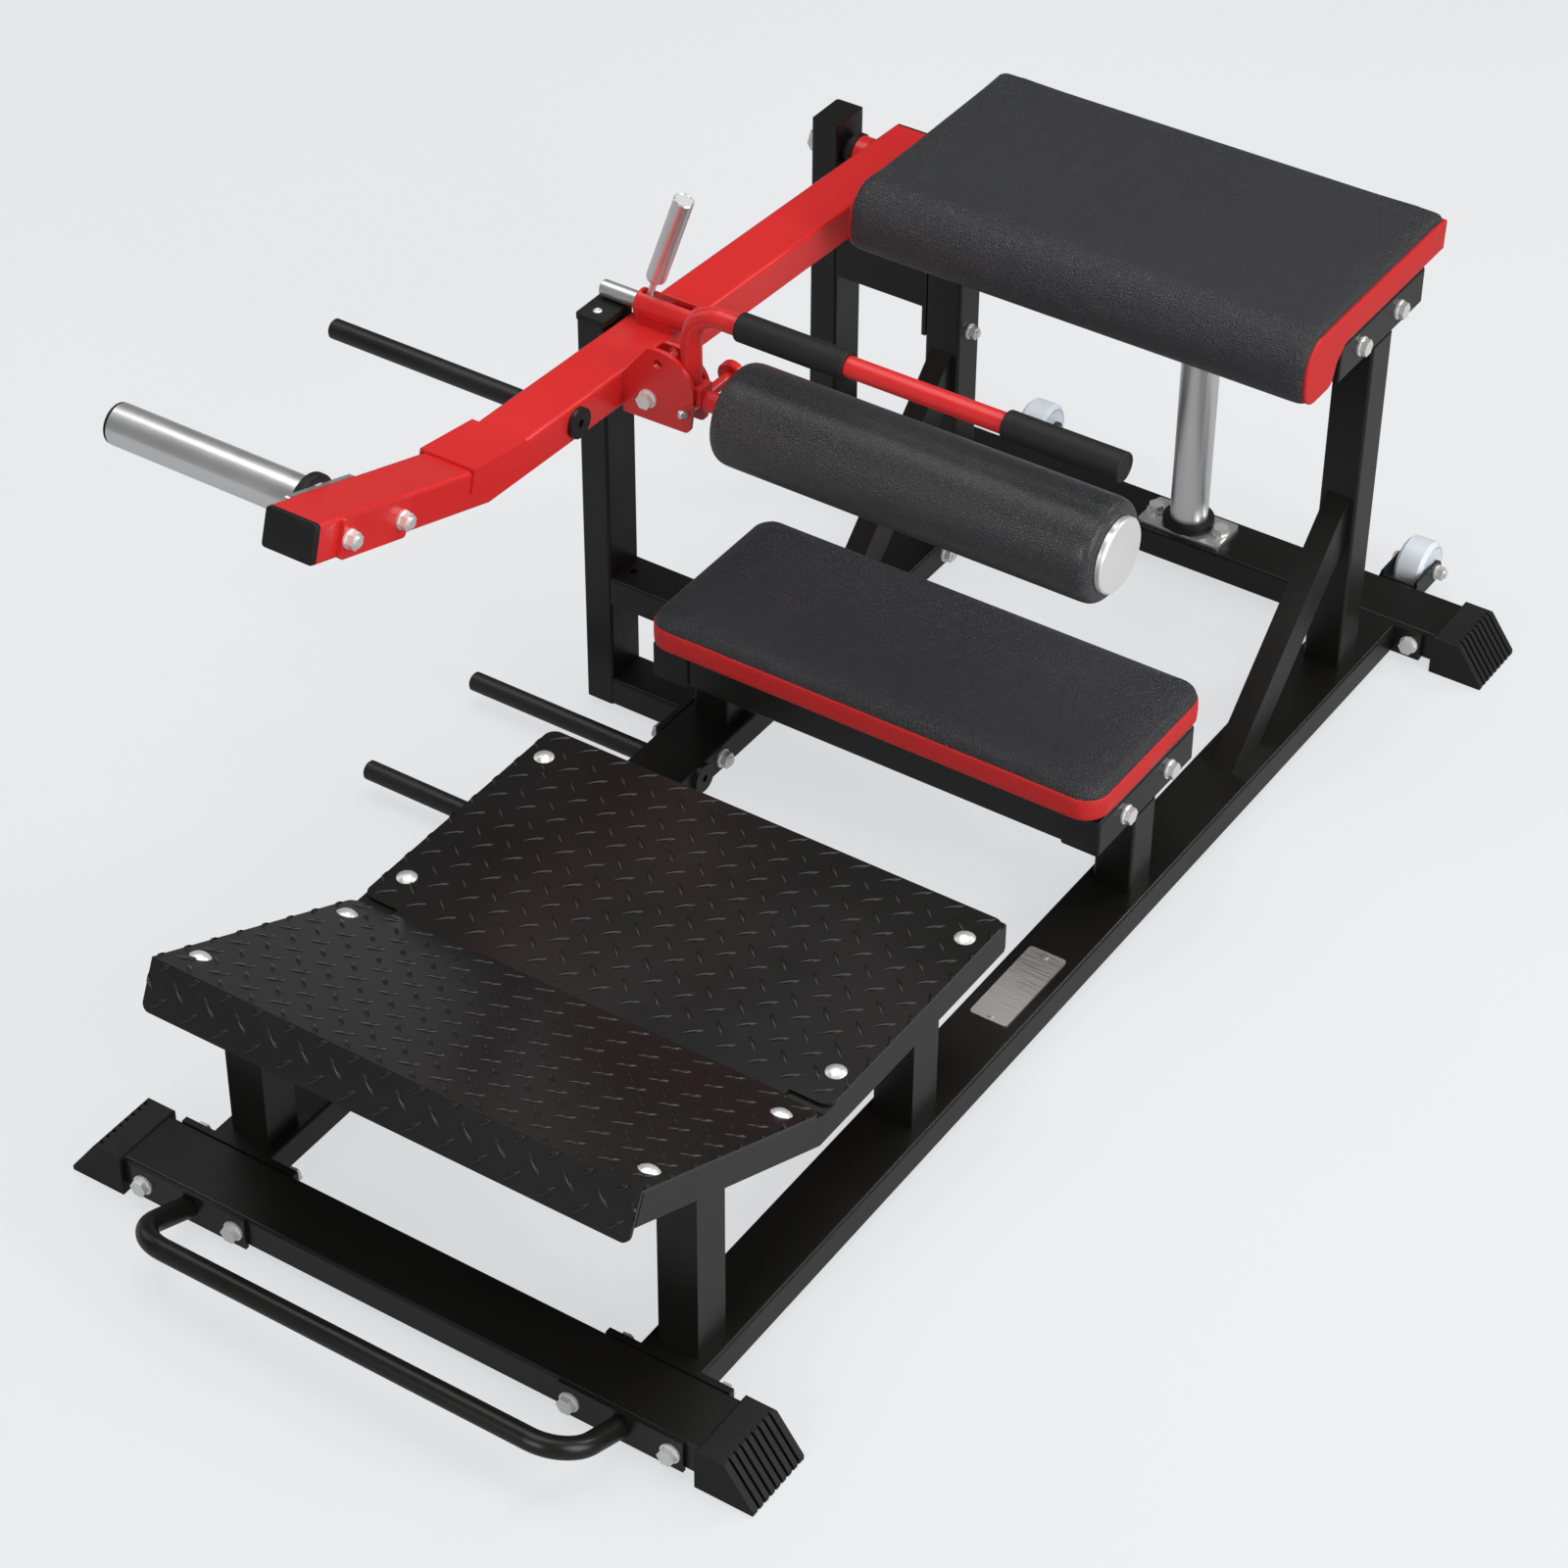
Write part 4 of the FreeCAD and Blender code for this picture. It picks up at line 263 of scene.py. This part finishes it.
def foam_material():
    k = Mat("foam_grip")
    pores = k.voronoi(900.0)
    slow = k.noise(20.0, 4.0, 0.6)
    k.base(k.mix(slow, (0.0060, 0.0060, 0.0060), (0.0105, 0.0105, 0.0102)))
    k.rough(k.span(pores, 0.50, 0.70))
    k.p.inputs["Specular IOR Level"].default_value = 0.32
    k.normal(k.bump(pores, 0.00025, 0.5))
    return k.m


M["grip_foam"] = foam_material()


def nylon():
    k = Mat("nylon_pale")
    slow = k.noise(30.0, 4.0, 0.6)
    fine = k.noise(400.0, 2.0, 0.5)
    scuffs = k.ramp(k.noise(90.0, 6.0, 0.7, vec=k.coords((3, 1, 1))), [(0.0, (0, 0, 0)), (0.66, (0, 0, 0)), (0.8, (1, 1, 1))])
    col = k.mix(slow, (0.68, 0.73, 0.78), (0.77, 0.82, 0.87))
    k.base(k.mix(k.math("MULTIPLY", scuffs, 0.35), col, (0.42, 0.45, 0.48)))
    k.rough(k.span(slow, 0.30, 0.42))
    k.p.inputs["Subsurface Weight"].default_value = 0.0
    k.normal(k.bump(fine, 0.00008, 0.4))
    return k.m


M["wheel_nylon"] = nylon()


def board():
    k = Mat("stained_board")
    grain = k.noise(18.0, 8.0, 0.65, vec=k.coords((1, 12, 12)))
    k.base(k.mix(grain, (0.006, 0.006, 0.006), (0.016, 0.015, 0.014)))
    k.rough(k.span(grain, 0.5, 0.7))
    k.normal(k.bump(grain, 0.0002, 0.5))
    return k.m


M["backing_board"] = board()


def lock_pin_material():
    """Bright steel pin with a red sleeve and knob: the split lies at a fixed place along the pin."""
    k = Mat("lock_pin_finish")
    sep = k.n("ShaderNodeSeparateXYZ")
    k.link(k.tc.outputs["Object"], sep.inputs[0])
    cut = OY + 0.9643
    red = k.math("GREATER_THAN", sep.outputs["Y"], cut)
    slow = k.noise(40.0, 3.0, 0.6)
    fine = k.noise(700.0, 2.0, 0.6)
    k.base(k.mix(red, k.mix(slow, (0.60, 0.60, 0.60), (0.74, 0.74, 0.73)), k.mix(slow, (0.52, 0.008, 0.009), (0.62, 0.012, 0.012))))
    k.link(k.math("SUBTRACT", 1.0, red), k.p.inputs["Metallic"])
    k.rough(k.span(fine, 0.26, 0.40))
    k.normal(k.bump(fine, 0.00006, 0.4))
    return k.m


M["lock_knob"] = lock_pin_material()

slot_of = {s["node"]: s["material_slot"] for s in frame["record"]["subparts"]}
for name, obj in NODES.items():
    mat = M[slot_of[name]]
    if not obj.data.materials:
        obj.data.materials.append(mat)
    for i in range(len(obj.material_slots)):
        obj.material_slots[i].material = mat


# ------------------------------------------------------------------ mesh tools
def obj_from(name, verts, faces, mat, smooth=True):
    me = bpy.data.meshes.new(name)
    me.from_pydata([tuple(v) for v in verts], [], faces)
    me.validate()
    bm = bmesh.new()
    bm.from_mesh(me)
    bmesh.ops.recalc_face_normals(bm, faces=bm.faces)
    bm.to_mesh(me)
    bm.free()
    ob = bpy.data.objects.new(name, me)
    scene.collection.objects.link(ob)
    if smooth:
        me.polygons.foreach_set("use_smooth", [True] * len(me.polygons))
    me.materials.append(mat)
    return ob


def bake(ob, name=None):
    """Modifiers applied, as a plain mesh."""
    dg = bpy.context.evaluated_depsgraph_get()
    me = bpy.data.meshes.new_from_object(ob.evaluated_get(dg), depsgraph=dg)
    ob.modifiers.clear()
    old = ob.data
    ob.data = me
    if name:
        ob.name = name
    bpy.data.meshes.remove(old)
    return ob


def loft(rings, closed_ring=True, caps=True):
    """Rings of equal length joined in order; end rings closed by a face."""
    verts, faces = [], []
    n = len(rings[0])
    for r in rings:
        verts += r
    for i in range(len(rings) - 1):
        for j in range(n if closed_ring else n - 1):
            a, b = i * n + j, i * n + (j + 1) % n
            faces.append((a, b, b + n, a + n))
    if caps:
        faces.append(tuple(range(n))[::-1])
        faces.append(tuple(range((len(rings) - 1) * n, len(rings) * n)))
    return verts, faces


def rounded_plan(hx, hy, r, seg=10, cx=0.0, cy=0.0, straight=12):
    """Closed outline of a rounded rectangle, corners and evenly divided sides."""
    pts = []
    for qx, qy, a0 in ((1, 1, 0), (-1, 1, 90), (-1, -1, 180), (1, -1, 270)):
        for i in range(seg + 1):
            a = math.radians(a0 + 90.0 * i / seg)
            pts.append((cx + qx * (hx - r) + r * math.cos(a), cy + qy * (hy - r) + r * math.sin(a)))
    out = []
    for i, p in enumerate(pts):
        nx = pts[(i + 1) % len(pts)]
        out.append(p)
        d = math.hypot(nx[0] - p[0], nx[1] - p[1])
        if d > 3 * r * math.pi / 2 / seg:
            for s in range(1, straight):
                t = s / straight
                out.append((p[0] + (nx[0] - p[0]) * t, p[1] + (nx[1] - p[1]) * t))
    return out


def puff(ob, voxel, cap, pressure=4.0, hold=None, frames=20, sub=1):
    """Padded cover by cloth simulation: remeshed, inflated a little, each point's travel capped."""
    m = ob.modifiers.new("remesh", "REMESH")
    m.mode = "VOXEL"
    m.voxel_size = voxel
    bake(ob)
    rest = [v.co.copy() for v in ob.data.vertices]
    vg = ob.vertex_groups.new(name="hold")
    held = [v.index for v in ob.data.vertices if hold is not None and hold(v.co)]
    if held:
        vg.add(held, 1.0, "REPLACE")
    c = ob.modifiers.new("cloth", "CLOTH")
    s = c.settings
    s.quality = 6
    s.mass = 0.3
    s.tension_stiffness = 22
    s.compression_stiffness = 22
    s.shear_stiffness = 12
    s.bending_stiffness = 1.2
    s.use_pressure = True
    s.uniform_pressure_force = pressure
    s.effector_weights.gravity = 0
    if held:
        s.vertex_group_mass = "hold"
    c.point_cache.frame_start = 1
    c.point_cache.frame_end = frames
    scene.frame_start, scene.frame_end = 1, frames
    for f in range(1, frames + 1):
        scene.frame_set(f)
    dg = bpy.context.evaluated_depsgraph_get()
    ev = ob.evaluated_get(dg)
    now = [v.co.copy() for v in ev.data.vertices]
    ob.modifiers.clear()
    for v, a, b in zip(ob.data.vertices, rest, now):
        d = b - a
        if d.length > cap:
            d = d.normalized() * cap
        v.co = a + d
    scene.frame_set(1)
    if sub:
        sm = ob.modifiers.new("smooth", "SMOOTH")
        sm.factor = 0.5
        sm.iterations = 3
        ss = ob.modifiers.new("sub", "SUBSURF")
        ss.levels = ss.render_levels = 1
        bake(ob)
    ob.data.polygons.foreach_set("use_smooth", [True] * len(ob.data.polygons))
    return ob


def fit_box(ob, lo, hi):
    """Scales the finished cover so that it fills its place exactly."""
    co = [v.co for v in ob.data.vertices]
    a = Vector([min(c[i] for c in co) for i in range(3)])
    b = Vector([max(c[i] for c in co) for i in range(3)])
    for v in ob.data.vertices:
        v.co = Vector([lo[i] + (v.co[i] - a[i]) * (hi[i] - lo[i]) / (b[i] - a[i]) for i in range(3)])
    return ob


# --------------------------------------------------------- raised tread bars
def tread(name, origin, ux, uy, un, x_rng, y_rng, skip, mat, pitch=(20.65, 20.6), phase=(0.0, 0.0), flip=False):
    """Lens-shaped bars in a chequered two-way pattern on a flat sheet; local (x, y) in mm."""
    Lb, Wb, Hb = 25.5, 2.9, 2.0
    stations = [-1.0, -0.93, -0.78, -0.5, -0.2, 0.2, 0.5, 0.78, 0.93, 1.0]
    verts, faces = [], []
    px, py = pitch
    i0 = int(math.floor((x_rng[0] - phase[0]) / px)) - 1
    i1 = int(math.ceil((x_rng[1] - phase[0]) / px)) + 1
    j0 = int(math.floor((y_rng[0] - phase[1]) / py)) - 1
    j1 = int(math.ceil((y_rng[1] - phase[1]) / py)) + 1
    for i in range(i0, i1 + 1):
        for j in range(j0, j1 + 1):
            if (i + j) % 2:
                continue
            cx, cy = phase[0] + i * px, phase[1] + j * py
            if not (x_rng[0] - 3 < cx < x_rng[1] + 3 and y_rng[0] - 3 < cy < y_rng[1] + 3):
                continue
            if any(math.hypot(cx - sx, cy - sy) < 15.5 for sx, sy in skip):
                continue
            a = math.radians(-45 if (i % 2) != flip else 45)
            ca_, sa_ = math.cos(a), math.sin(a)
            base = len(verts)
            for s in stations:
                w = Wb * max(0.0, 1 - s * s) ** 0.95 + 0.10
                h = Hb * max(0.0, 1 - s * s) ** 0.80
                for u, hh in ((-1.0, -0.25), (-0.82, 0.38 * h), (-0.42, 0.86 * h), (0.0, h), (0.42, 0.86 * h), (0.82, 0.38 * h), (1.0, -0.25)):
                    lx, ly = s * Lb / 2, u * w
                    x = cx + lx * ca_ - ly * sa_
                    y = cy + (lx * sa_ + ly * ca_) * py / px
                    x = min(max(x, x_rng[0]), x_rng[1])
                    y = min(max(y, y_rng[0]), y_rng[1])
                    verts.append(origin + ux * x + uy * y + un * (hh if hh < 0 else hh))
            n = 7
            for r in range(len(stations) - 1):
                for c in range(n - 1):
                    p = base + r * n + c
                    faces.append((p, p + 1, p + n + 1, p + n))
                p = base + r * n
                faces.append((p + n - 1, p, p + n, p + 2 * n - 1))
            faces.append(tuple(base + c for c in range(n)))
            last = base + (len(stations) - 1) * n
            faces.append(tuple(last + c for c in range(n))[::-1])
    ob = obj_from(name, verts, faces, mat)
    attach(ob, "frame")
    return ob


mm = 0.001
rise = math.atan2(362.0 - 212.0, 337.0 - 13.0)
CA, SA = math.cos(rise), math.sin(rise)
slope_len = (337.0 - 13.0) / CA
bolts_rear = [(sx * 285.0, y) for sx in (-1, 1) for y in (396.0, 655.0)]
bolts_front = [(sx * 285.0, d) for sx in (-1, 1) for d in (52.0, 312.0)]
tread("tread_bars_rear", L(0, 0, 216), Vector((mm, 0, 0)), Vector((0, mm, 0)), Vector((0, 0, mm)),
      (-308.6, 308.6), (346.6, 702.4), bolts_rear, M["tread_paint"], phase=(0.0, 363.5))
tread("tread_bars_front", L(0, 337, 212) + Vector((0, SA, CA)) * 4 * mm, Vector((mm, 0, 0)), Vector((0, -CA, SA)) * mm, Vector((0, SA, CA)) * mm,
      (-308.6, 308.6), (8.6, slope_len + 5.6), bolts_front, M["tread_paint"], pitch=(20.65, 22.3), phase=(0.0, 17.1), flip=True)
tread("tread_bars_lip", L(0, 337, 212) + Vector((0, -CA, SA)) * (slope_len + 6) * mm, Vector((mm, 0, 0)), Vector((0, SA, CA)) * mm, Vector((0, -CA, SA)) * mm,
      (-308.6, 308.6), (-55.4, 3.4), [], M["tread_paint"], phase=(0.0, -0.4))


# --------------------------------------------------------------- seat cushion
def ring_band(name, path, prof, mat, wave=0.0):
    """A strip of constant section swept round a closed plan; prof gives (outward mm, height mm)."""
    n = len(path)
    rings = []
    for i in range(n):
        p, q_, r_ = path[i - 1], path[i], path[(i + 1) % n]
        t = Vector((r_[0] - p[0], r_[1] - p[1])).normalized()
        nrm = Vector((t.y, -t.x))
        wav = wave * noise.noise(Vector((q_[0] * 0.012, q_[1] * 0.012, 3.1)))
        rings.append([L(q_[0] + nrm.x * (a + (wav if a > -2 else 0)), q_[1] + nrm.y * (a + (wav if a > -2 else 0)), z) for a, z in prof])
    verts, faces = [], []
    k = len(prof)
    for r in rings:
        verts += r
    for i in range(n):
        for j in range(k):
            a, b = i * k + j, i * k + (j + 1) % k
            c, d = ((i + 1) % n) * k + (j + 1) % k, ((i + 1) % n) * k + j
            faces.append((a, b, c, d))
    return obj_from(name, verts, faces, mat)


def seat():
    cy = (892.0 + 1151.0) / 2
    hx, hy, rc = 311.0, 129.5, 32.0
    rings = []
    prof = [(6.0, 222.0), (4.2, 223.5), (4.0, 236.0), (3.8, 249.0), (4.2, 253.0), (5.6, 257.6), (8.2, 261.2), (12.0, 263.2), (18.0, 263.8), (60.0, 264.2)]
    for inset, z in prof:
        rings.append([L(x, y, z) for x, y in rounded_plan(hx - inset, hy - inset, max(rc - inset, 5.0), cy=cy)])
    v, f = loft(rings)
    ob = obj_from("seat_pad_cover", v, f, M["upholstery"])
    puff(ob, 0.0045, 0.0016, pressure=2.0, hold=lambda c: c.z < 0.252)
    fit_box(ob, L(1.6 - hx, cy - hy + 1.6, 221.4), L(hx - 1.6, cy + hy - 1.6, 266.6))
    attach(ob, "frame")
    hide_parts("seat_cushion")
    # side band, sewn round the cushion a little proud of the top cover
    path = rounded_plan(hx, hy, rc, seg=14, cy=cy, straight=40)
    band = ring_band("seat_side_band", path, [(-5.0, 221.8), (-0.9, 221.6), (-0.1, 222.6), (0.35, 229.0), (0.5, 236.0), (0.3, 243.0), (-0.1, 248.2), (-0.9, 249.6), (-2.4, 249.7), (-5.0, 248.0)], M["upholstery_red"], 0.35)
    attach(band, "frame")
    return ob


seat()


# --------------------------------------------------------------- bench pad
def arc(cx, cy, r, a0, a1, n):
    return [(cx + r * math.cos(math.radians(a0 + (a1 - a0) * i / n)), cy + r * math.sin(math.radians(a0 + (a1 - a0) * i / n))) for i in range(n + 1)]


PAD_F, PAD_B, PAD_T, PAD_U, NOSE = 1326.0, 1686.0, 630.0, 577.0, 533.0


def bench_profile(i):
    """Side outline (y, z) of the bench pad: flat top, front edge rolled over and down; i shrinks it evenly."""
    pts = []
    pts += arc(PAD_B - 9, PAD_T - 9, max(9 - i, 2.0), 0, 90, 5)
    pts += [(PAD_B - 40 - k * 32, PAD_T - i) for k in range(8)]
    pts += arc(PAD_F + 46, PAD_T - 46, 46 - i, 90, 180, 12)
    pts += arc(PAD_F + 33, NOSE + 33, 33 - i, 180, 270, 8)
    pts += arc(1390, NOSE + 20, 20 - i, 270, 335, 6)
    pts += [(1414 - i * 0.6, 564.0 + i * 0.5), (1428 + i * 0.2, PAD_U + i)]
    pts += [(1450 + k * 29, PAD_U + i) for k in range(8)]
    pts += [(PAD_B - i, PAD_U + i)]
    return pts


def bench():
    hx = 312.0
    ends = ((2.4, 11.0), (2.8, 8.6), (4.2, 6.0), (6.6, 4.0), (9.6, 3.2))
    rings = [[L(dx - hx, y, z) for y, z in bench_profile(inset)] for dx, inset in ends]
    for s in range(1, 24):
        rings.append([L(-hx + 9.6 + (2 * hx - 19.2) * s / 24, y, z) for y, z in bench_profile(3.0)])
    rings += [[L(hx - dx, y, z) for y, z in bench_profile(inset)] for dx, inset in ends[::-1]]
    v, f = loft(rings)
    ob = obj_from("bench_pad_cover", v, f, M["upholstery"])
    low, y0 = 0.5812, OY + 1.430
    puff(ob, 0.0055, 0.0016, pressure=2.0, hold=lambda c: (c.z < low and c.y > y0))
    fit_box(ob, L(0.4 - hx, PAD_F + 0.4, NOSE + 0.4), L(hx - 0.4, PAD_B - 0.4, PAD_T + 1.2))
    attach(ob, "frame")
    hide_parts("backrest_cushion")
    # sewn end panels
    for sx, tag in ((-1, "left"), (1, "right")):
        rings = []
        out = 0.0 if sx > 0 else -1.2
        for dx, inset in ((-5.0, 6.6), (0.6, 6.2), (1.5, 6.8), (1.9, 8.0), (2.2, 12.0)):
            rings.append([L(sx * (hx - 1.2 + out + dx), y, min(z, PAD_T - (7.6 if sx > 0 else 12.0))) for y, z in bench_profile(inset)])
        v, f = loft(rings)
        pan = obj_from("bench_end_panel_" + tag, v, f, M["upholstery_red"])
        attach(pan, "frame")
    return ob


bench()


# ------------------------------------------------------------------- roller
def lathe(name, prof, centre, mat, seg=96, ripple=0.0, freq=30.0):
    """Solid of revolution about a line along X. prof: (x mm, r mm) from one end to the other."""
    rings = []
    for x, r in prof:
        ring = []
        for k in range(seg):
            a = 2 * math.pi * k / seg
            rr = r
            if ripple:
                rr += ripple * noise.noise(Vector((x * 0.02, math.cos(a) * 1.6, math.sin(a) * 1.6))) + ripple * 0.5 * noise.noise(Vector((x * 0.05, math.cos(a) * 3.5, math.sin(a) * 3.5)))
            ring.append(L(x, centre[0] + rr * math.cos(a), centre[1] + rr * math.sin(a)))
        rings.append(ring)
    v, f = loft(rings)
    return obj_from(name, v, f, mat)


def roller():
    x0, x1, r = -217.5, 283.0, 61.6
    c = (948.5, 557.0)
    edge = [(1.2, 30.6), (0.6, 44.0), (1.2, 50.5), (3.4, 56.0), (7.2, 59.8), (12.5, r)]
    prof = [(x0 + a, b) for a, b in edge]
    prof += [(x0 + 12.5 + (x1 - x0 - 25) * k / 40, r) for k in range(1, 40)]
    prof += [(x1 - a, b) for a, b in edge[::-1]]
    ob = lathe("roller_cover", prof, c, M["roller_cover"], seg=72)
    axis = L(0, c[0], c[1])
    puff(ob, 0.005, 0.0014, pressure=2.0, hold=lambda v: math.hypot(v.y - axis.y, v.z - axis.z) < 0.040)
    # evened out round the axle, so the roller runs true
    lo_x, hi_x = L(x0 + 0.2, 0, 0).x, L(x1 - 0.2, 0, 0).x
    mid = [math.hypot(v.co.y - axis.y, v.co.z - axis.z) for v in ob.data.vertices if lo_x + 0.05 < v.co.x < hi_x - 0.05]
    mid = [m for m in mid if m > 0.05]
    grow = 0.0619 / (sum(mid) / len(mid))
    xs = [v.co.x for v in ob.data.vertices]
    a, b = min(xs), max(xs)
    for v in ob.data.vertices:
        v.co.x = lo_x + (v.co.x - a) * (hi_x - lo_x) / (b - a)
        d = Vector((v.co.y - axis.y, v.co.z - axis.z))
        if d.length > 0.036:
            n = d.length * (1 + (grow - 1) * min(1.0, (d.length - 0.036) / 0.02))
            if n > 0.0619:
                n = 0.0619 + (n - 0.0619) * 0.35
            d = d.normalized() * n
            v.co.y, v.co.z = axis.y + d.x, axis.z + d.y
    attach(ob, "roller")
    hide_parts("roller_foam")


roller()


# -------------------------------------------------------------- foam grips
def grip(name, x0, x1, closed):
    """Foam sleeve with fine moulded rings; the outer one shows its plugged end."""
    c = (945.0, 676.0)
    R = 17.3
    prof = [(x0 + 1.0, 14.2), (x0 + 0.2, 15.4), (x0 + 0.6, 16.6), (x0 + 2.0, R)]
    n = int((x1 - x0 - 4) / 1.6)
    for k in range(1, n):
        x = x0 + 2 + (x1 - x0 - 4) * k / n
        prof.append((x, R + (0.20 if k % 2 else -0.12)))
    prof += [(x1 - 2.0, R), (x1 - 0.6, 16.6), (x1 - 0.2, 15.6)]
    if closed:
        prof += [(x1 - 0.4, 14.2), (x1 - 1.6, 13.6), (x1 - 2.0, 12.6), (x1 - 1.6, 11.6), (x1 - 1.2, 4.0)]
    else:
        prof += [(x1 - 1.0, 14.2)]
    ob = lathe(name, prof, c, M["grip_foam"], seg=64)
    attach(ob, "roller_frame")
    return ob


g1 = grip("grip_sleeve_inner", -207.0, -62.0, False)
g2 = grip("grip_sleeve_outer", 142.0, 291.0, True)
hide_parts("handle_grips")


# --------------------------------------------- screw in the top of the rest pad
def screw_head():
    lo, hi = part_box("rest_pad")
    cx, cy, top = (lo.x + hi.x) / 2, (lo.y + hi.y) / 2 - 0.014, hi.z
    rings = []
    for r, z in ((3.0, -4.0), (3.1, -0.5), (5.6, 0.0), (5.5, 0.7), (4.6, 1.5), (3.0, 1.9), (1.9, 2.0), (1.7, 1.1), (1.2, 1.0)):
        rings.append([Vector((cx + r * mm * math.cos(2 * math.pi * k / 32), cy + r * mm * math.sin(2 * math.pi * k / 32), top + z * mm)) for k in range(32)])
    v, f = loft(rings)
    ob = obj_from("rest_pad_screw", v, f, M["zinc"])
    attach(ob, "frame")


screw_head()


# ------------------------------------------------------------------- stage
def floor():
    k = Mat("studio_floor")
    k.base((0.17, 0.17, 0.171))
    k.rough(0.9)
    k.p.inputs["Specular IOR Level"].default_value = 0.05
    k.p.inputs["Emission Color"].default_value = (0.99, 1.0, 1.022, 1)
    lp = k.n("ShaderNodeLightPath")
    k.link(k.span(lp.outputs["Is Camera Ray"], 0.26, 0.650), k.p.inputs["Emission Strength"])
    me = bpy.data.meshes.new("studio_floor")
    s = 40.0
    me.from_pydata([(-s, -s, -0.0005), (s, -s, -0.0005), (s, s, -0.0005), (-s, s, -0.0005)], [], [(0, 1, 2, 3)])
    me.materials.append(k.m)
    ob = bpy.data.objects.new("studio_floor", me)
    scene.collection.objects.link(ob)


floor()


def area(name, loc, target, size, power, size_y=None, color=(1, 1, 1)):
    d = bpy.data.lights.new(name, "AREA")
    d.shape = "RECTANGLE"
    d.size = size
    d.size_y = size_y or size
    d.energy = power
    d.color = color
    o = bpy.data.objects.new(name, d)
    o.location = loc
    o.rotation_euler = (Vector(target) - Vector(loc)).to_track_quat("-Z", "Y").to_euler()
    scene.collection.objects.link(o)
    return o


area("top_soft", (-0.4, 0.4, 5.0), (0.0, 0.0, 0), 5.0, 198.0)
area("rim_soft", (2.6, 3.5, 3.4), (0.0, 0.0, 0.5), 1.2, 52.0)
area("left_soft", (-4.2, -0.6, 2.4), (0, 0, 0.4), 2.6, 22.0)
area("right_soft", (4.4, -0.4, 1.9), (0.1, 0, 0.4), 3.0, 168.0)
area("front_soft", (0.2, -5.0, 2.0), (0.1, 0, 0.4), 2.4, 85.0)

world = bpy.data.worlds.new("studio")
world.use_nodes = True
bg = world.node_tree.nodes["Background"]
bg.inputs[0].default_value = (0.97, 0.98, 1.0, 1)
wt = world.node_tree
wlp = wt.nodes.new("ShaderNodeLightPath")
wmr = wt.nodes.new("ShaderNodeMapRange")
wmr.inputs["To Min"].default_value = 0.09
wmr.inputs["To Max"].default_value = 0.80
wt.links.new(wlp.outputs["Is Camera Ray"], wmr.inputs[0])
wt.links.new(wmr.outputs[0], bg.inputs[1])
scene.world = world

cam = bpy.data.cameras.new("camera")
cam.sensor_width = 36.0
cam.lens = 96.486
cam.clip_end = 100.0
co = bpy.data.objects.new("camera", cam)
scene.collection.objects.link(co)
right, down, fwd = Vector((0.833321, 0.552763, 0.005433)), Vector((0.350617, -0.520923, -0.778272)), Vector((-0.42737, 0.650455, -0.627904))
rot = Matrix((right, -down, -fwd)).transposed()
co.matrix_world = Matrix.Translation(L(2028.349, -2361.445, 3236.885)) @ rot.to_4x4()
scene.camera = co

scene.view_settings.view_transform = "Standard"
scene.view_settings.look = "None"
scene.view_settings.exposure = 0.0
scene.view_settings.gamma = 1.0

bpy.context.view_layer.update()
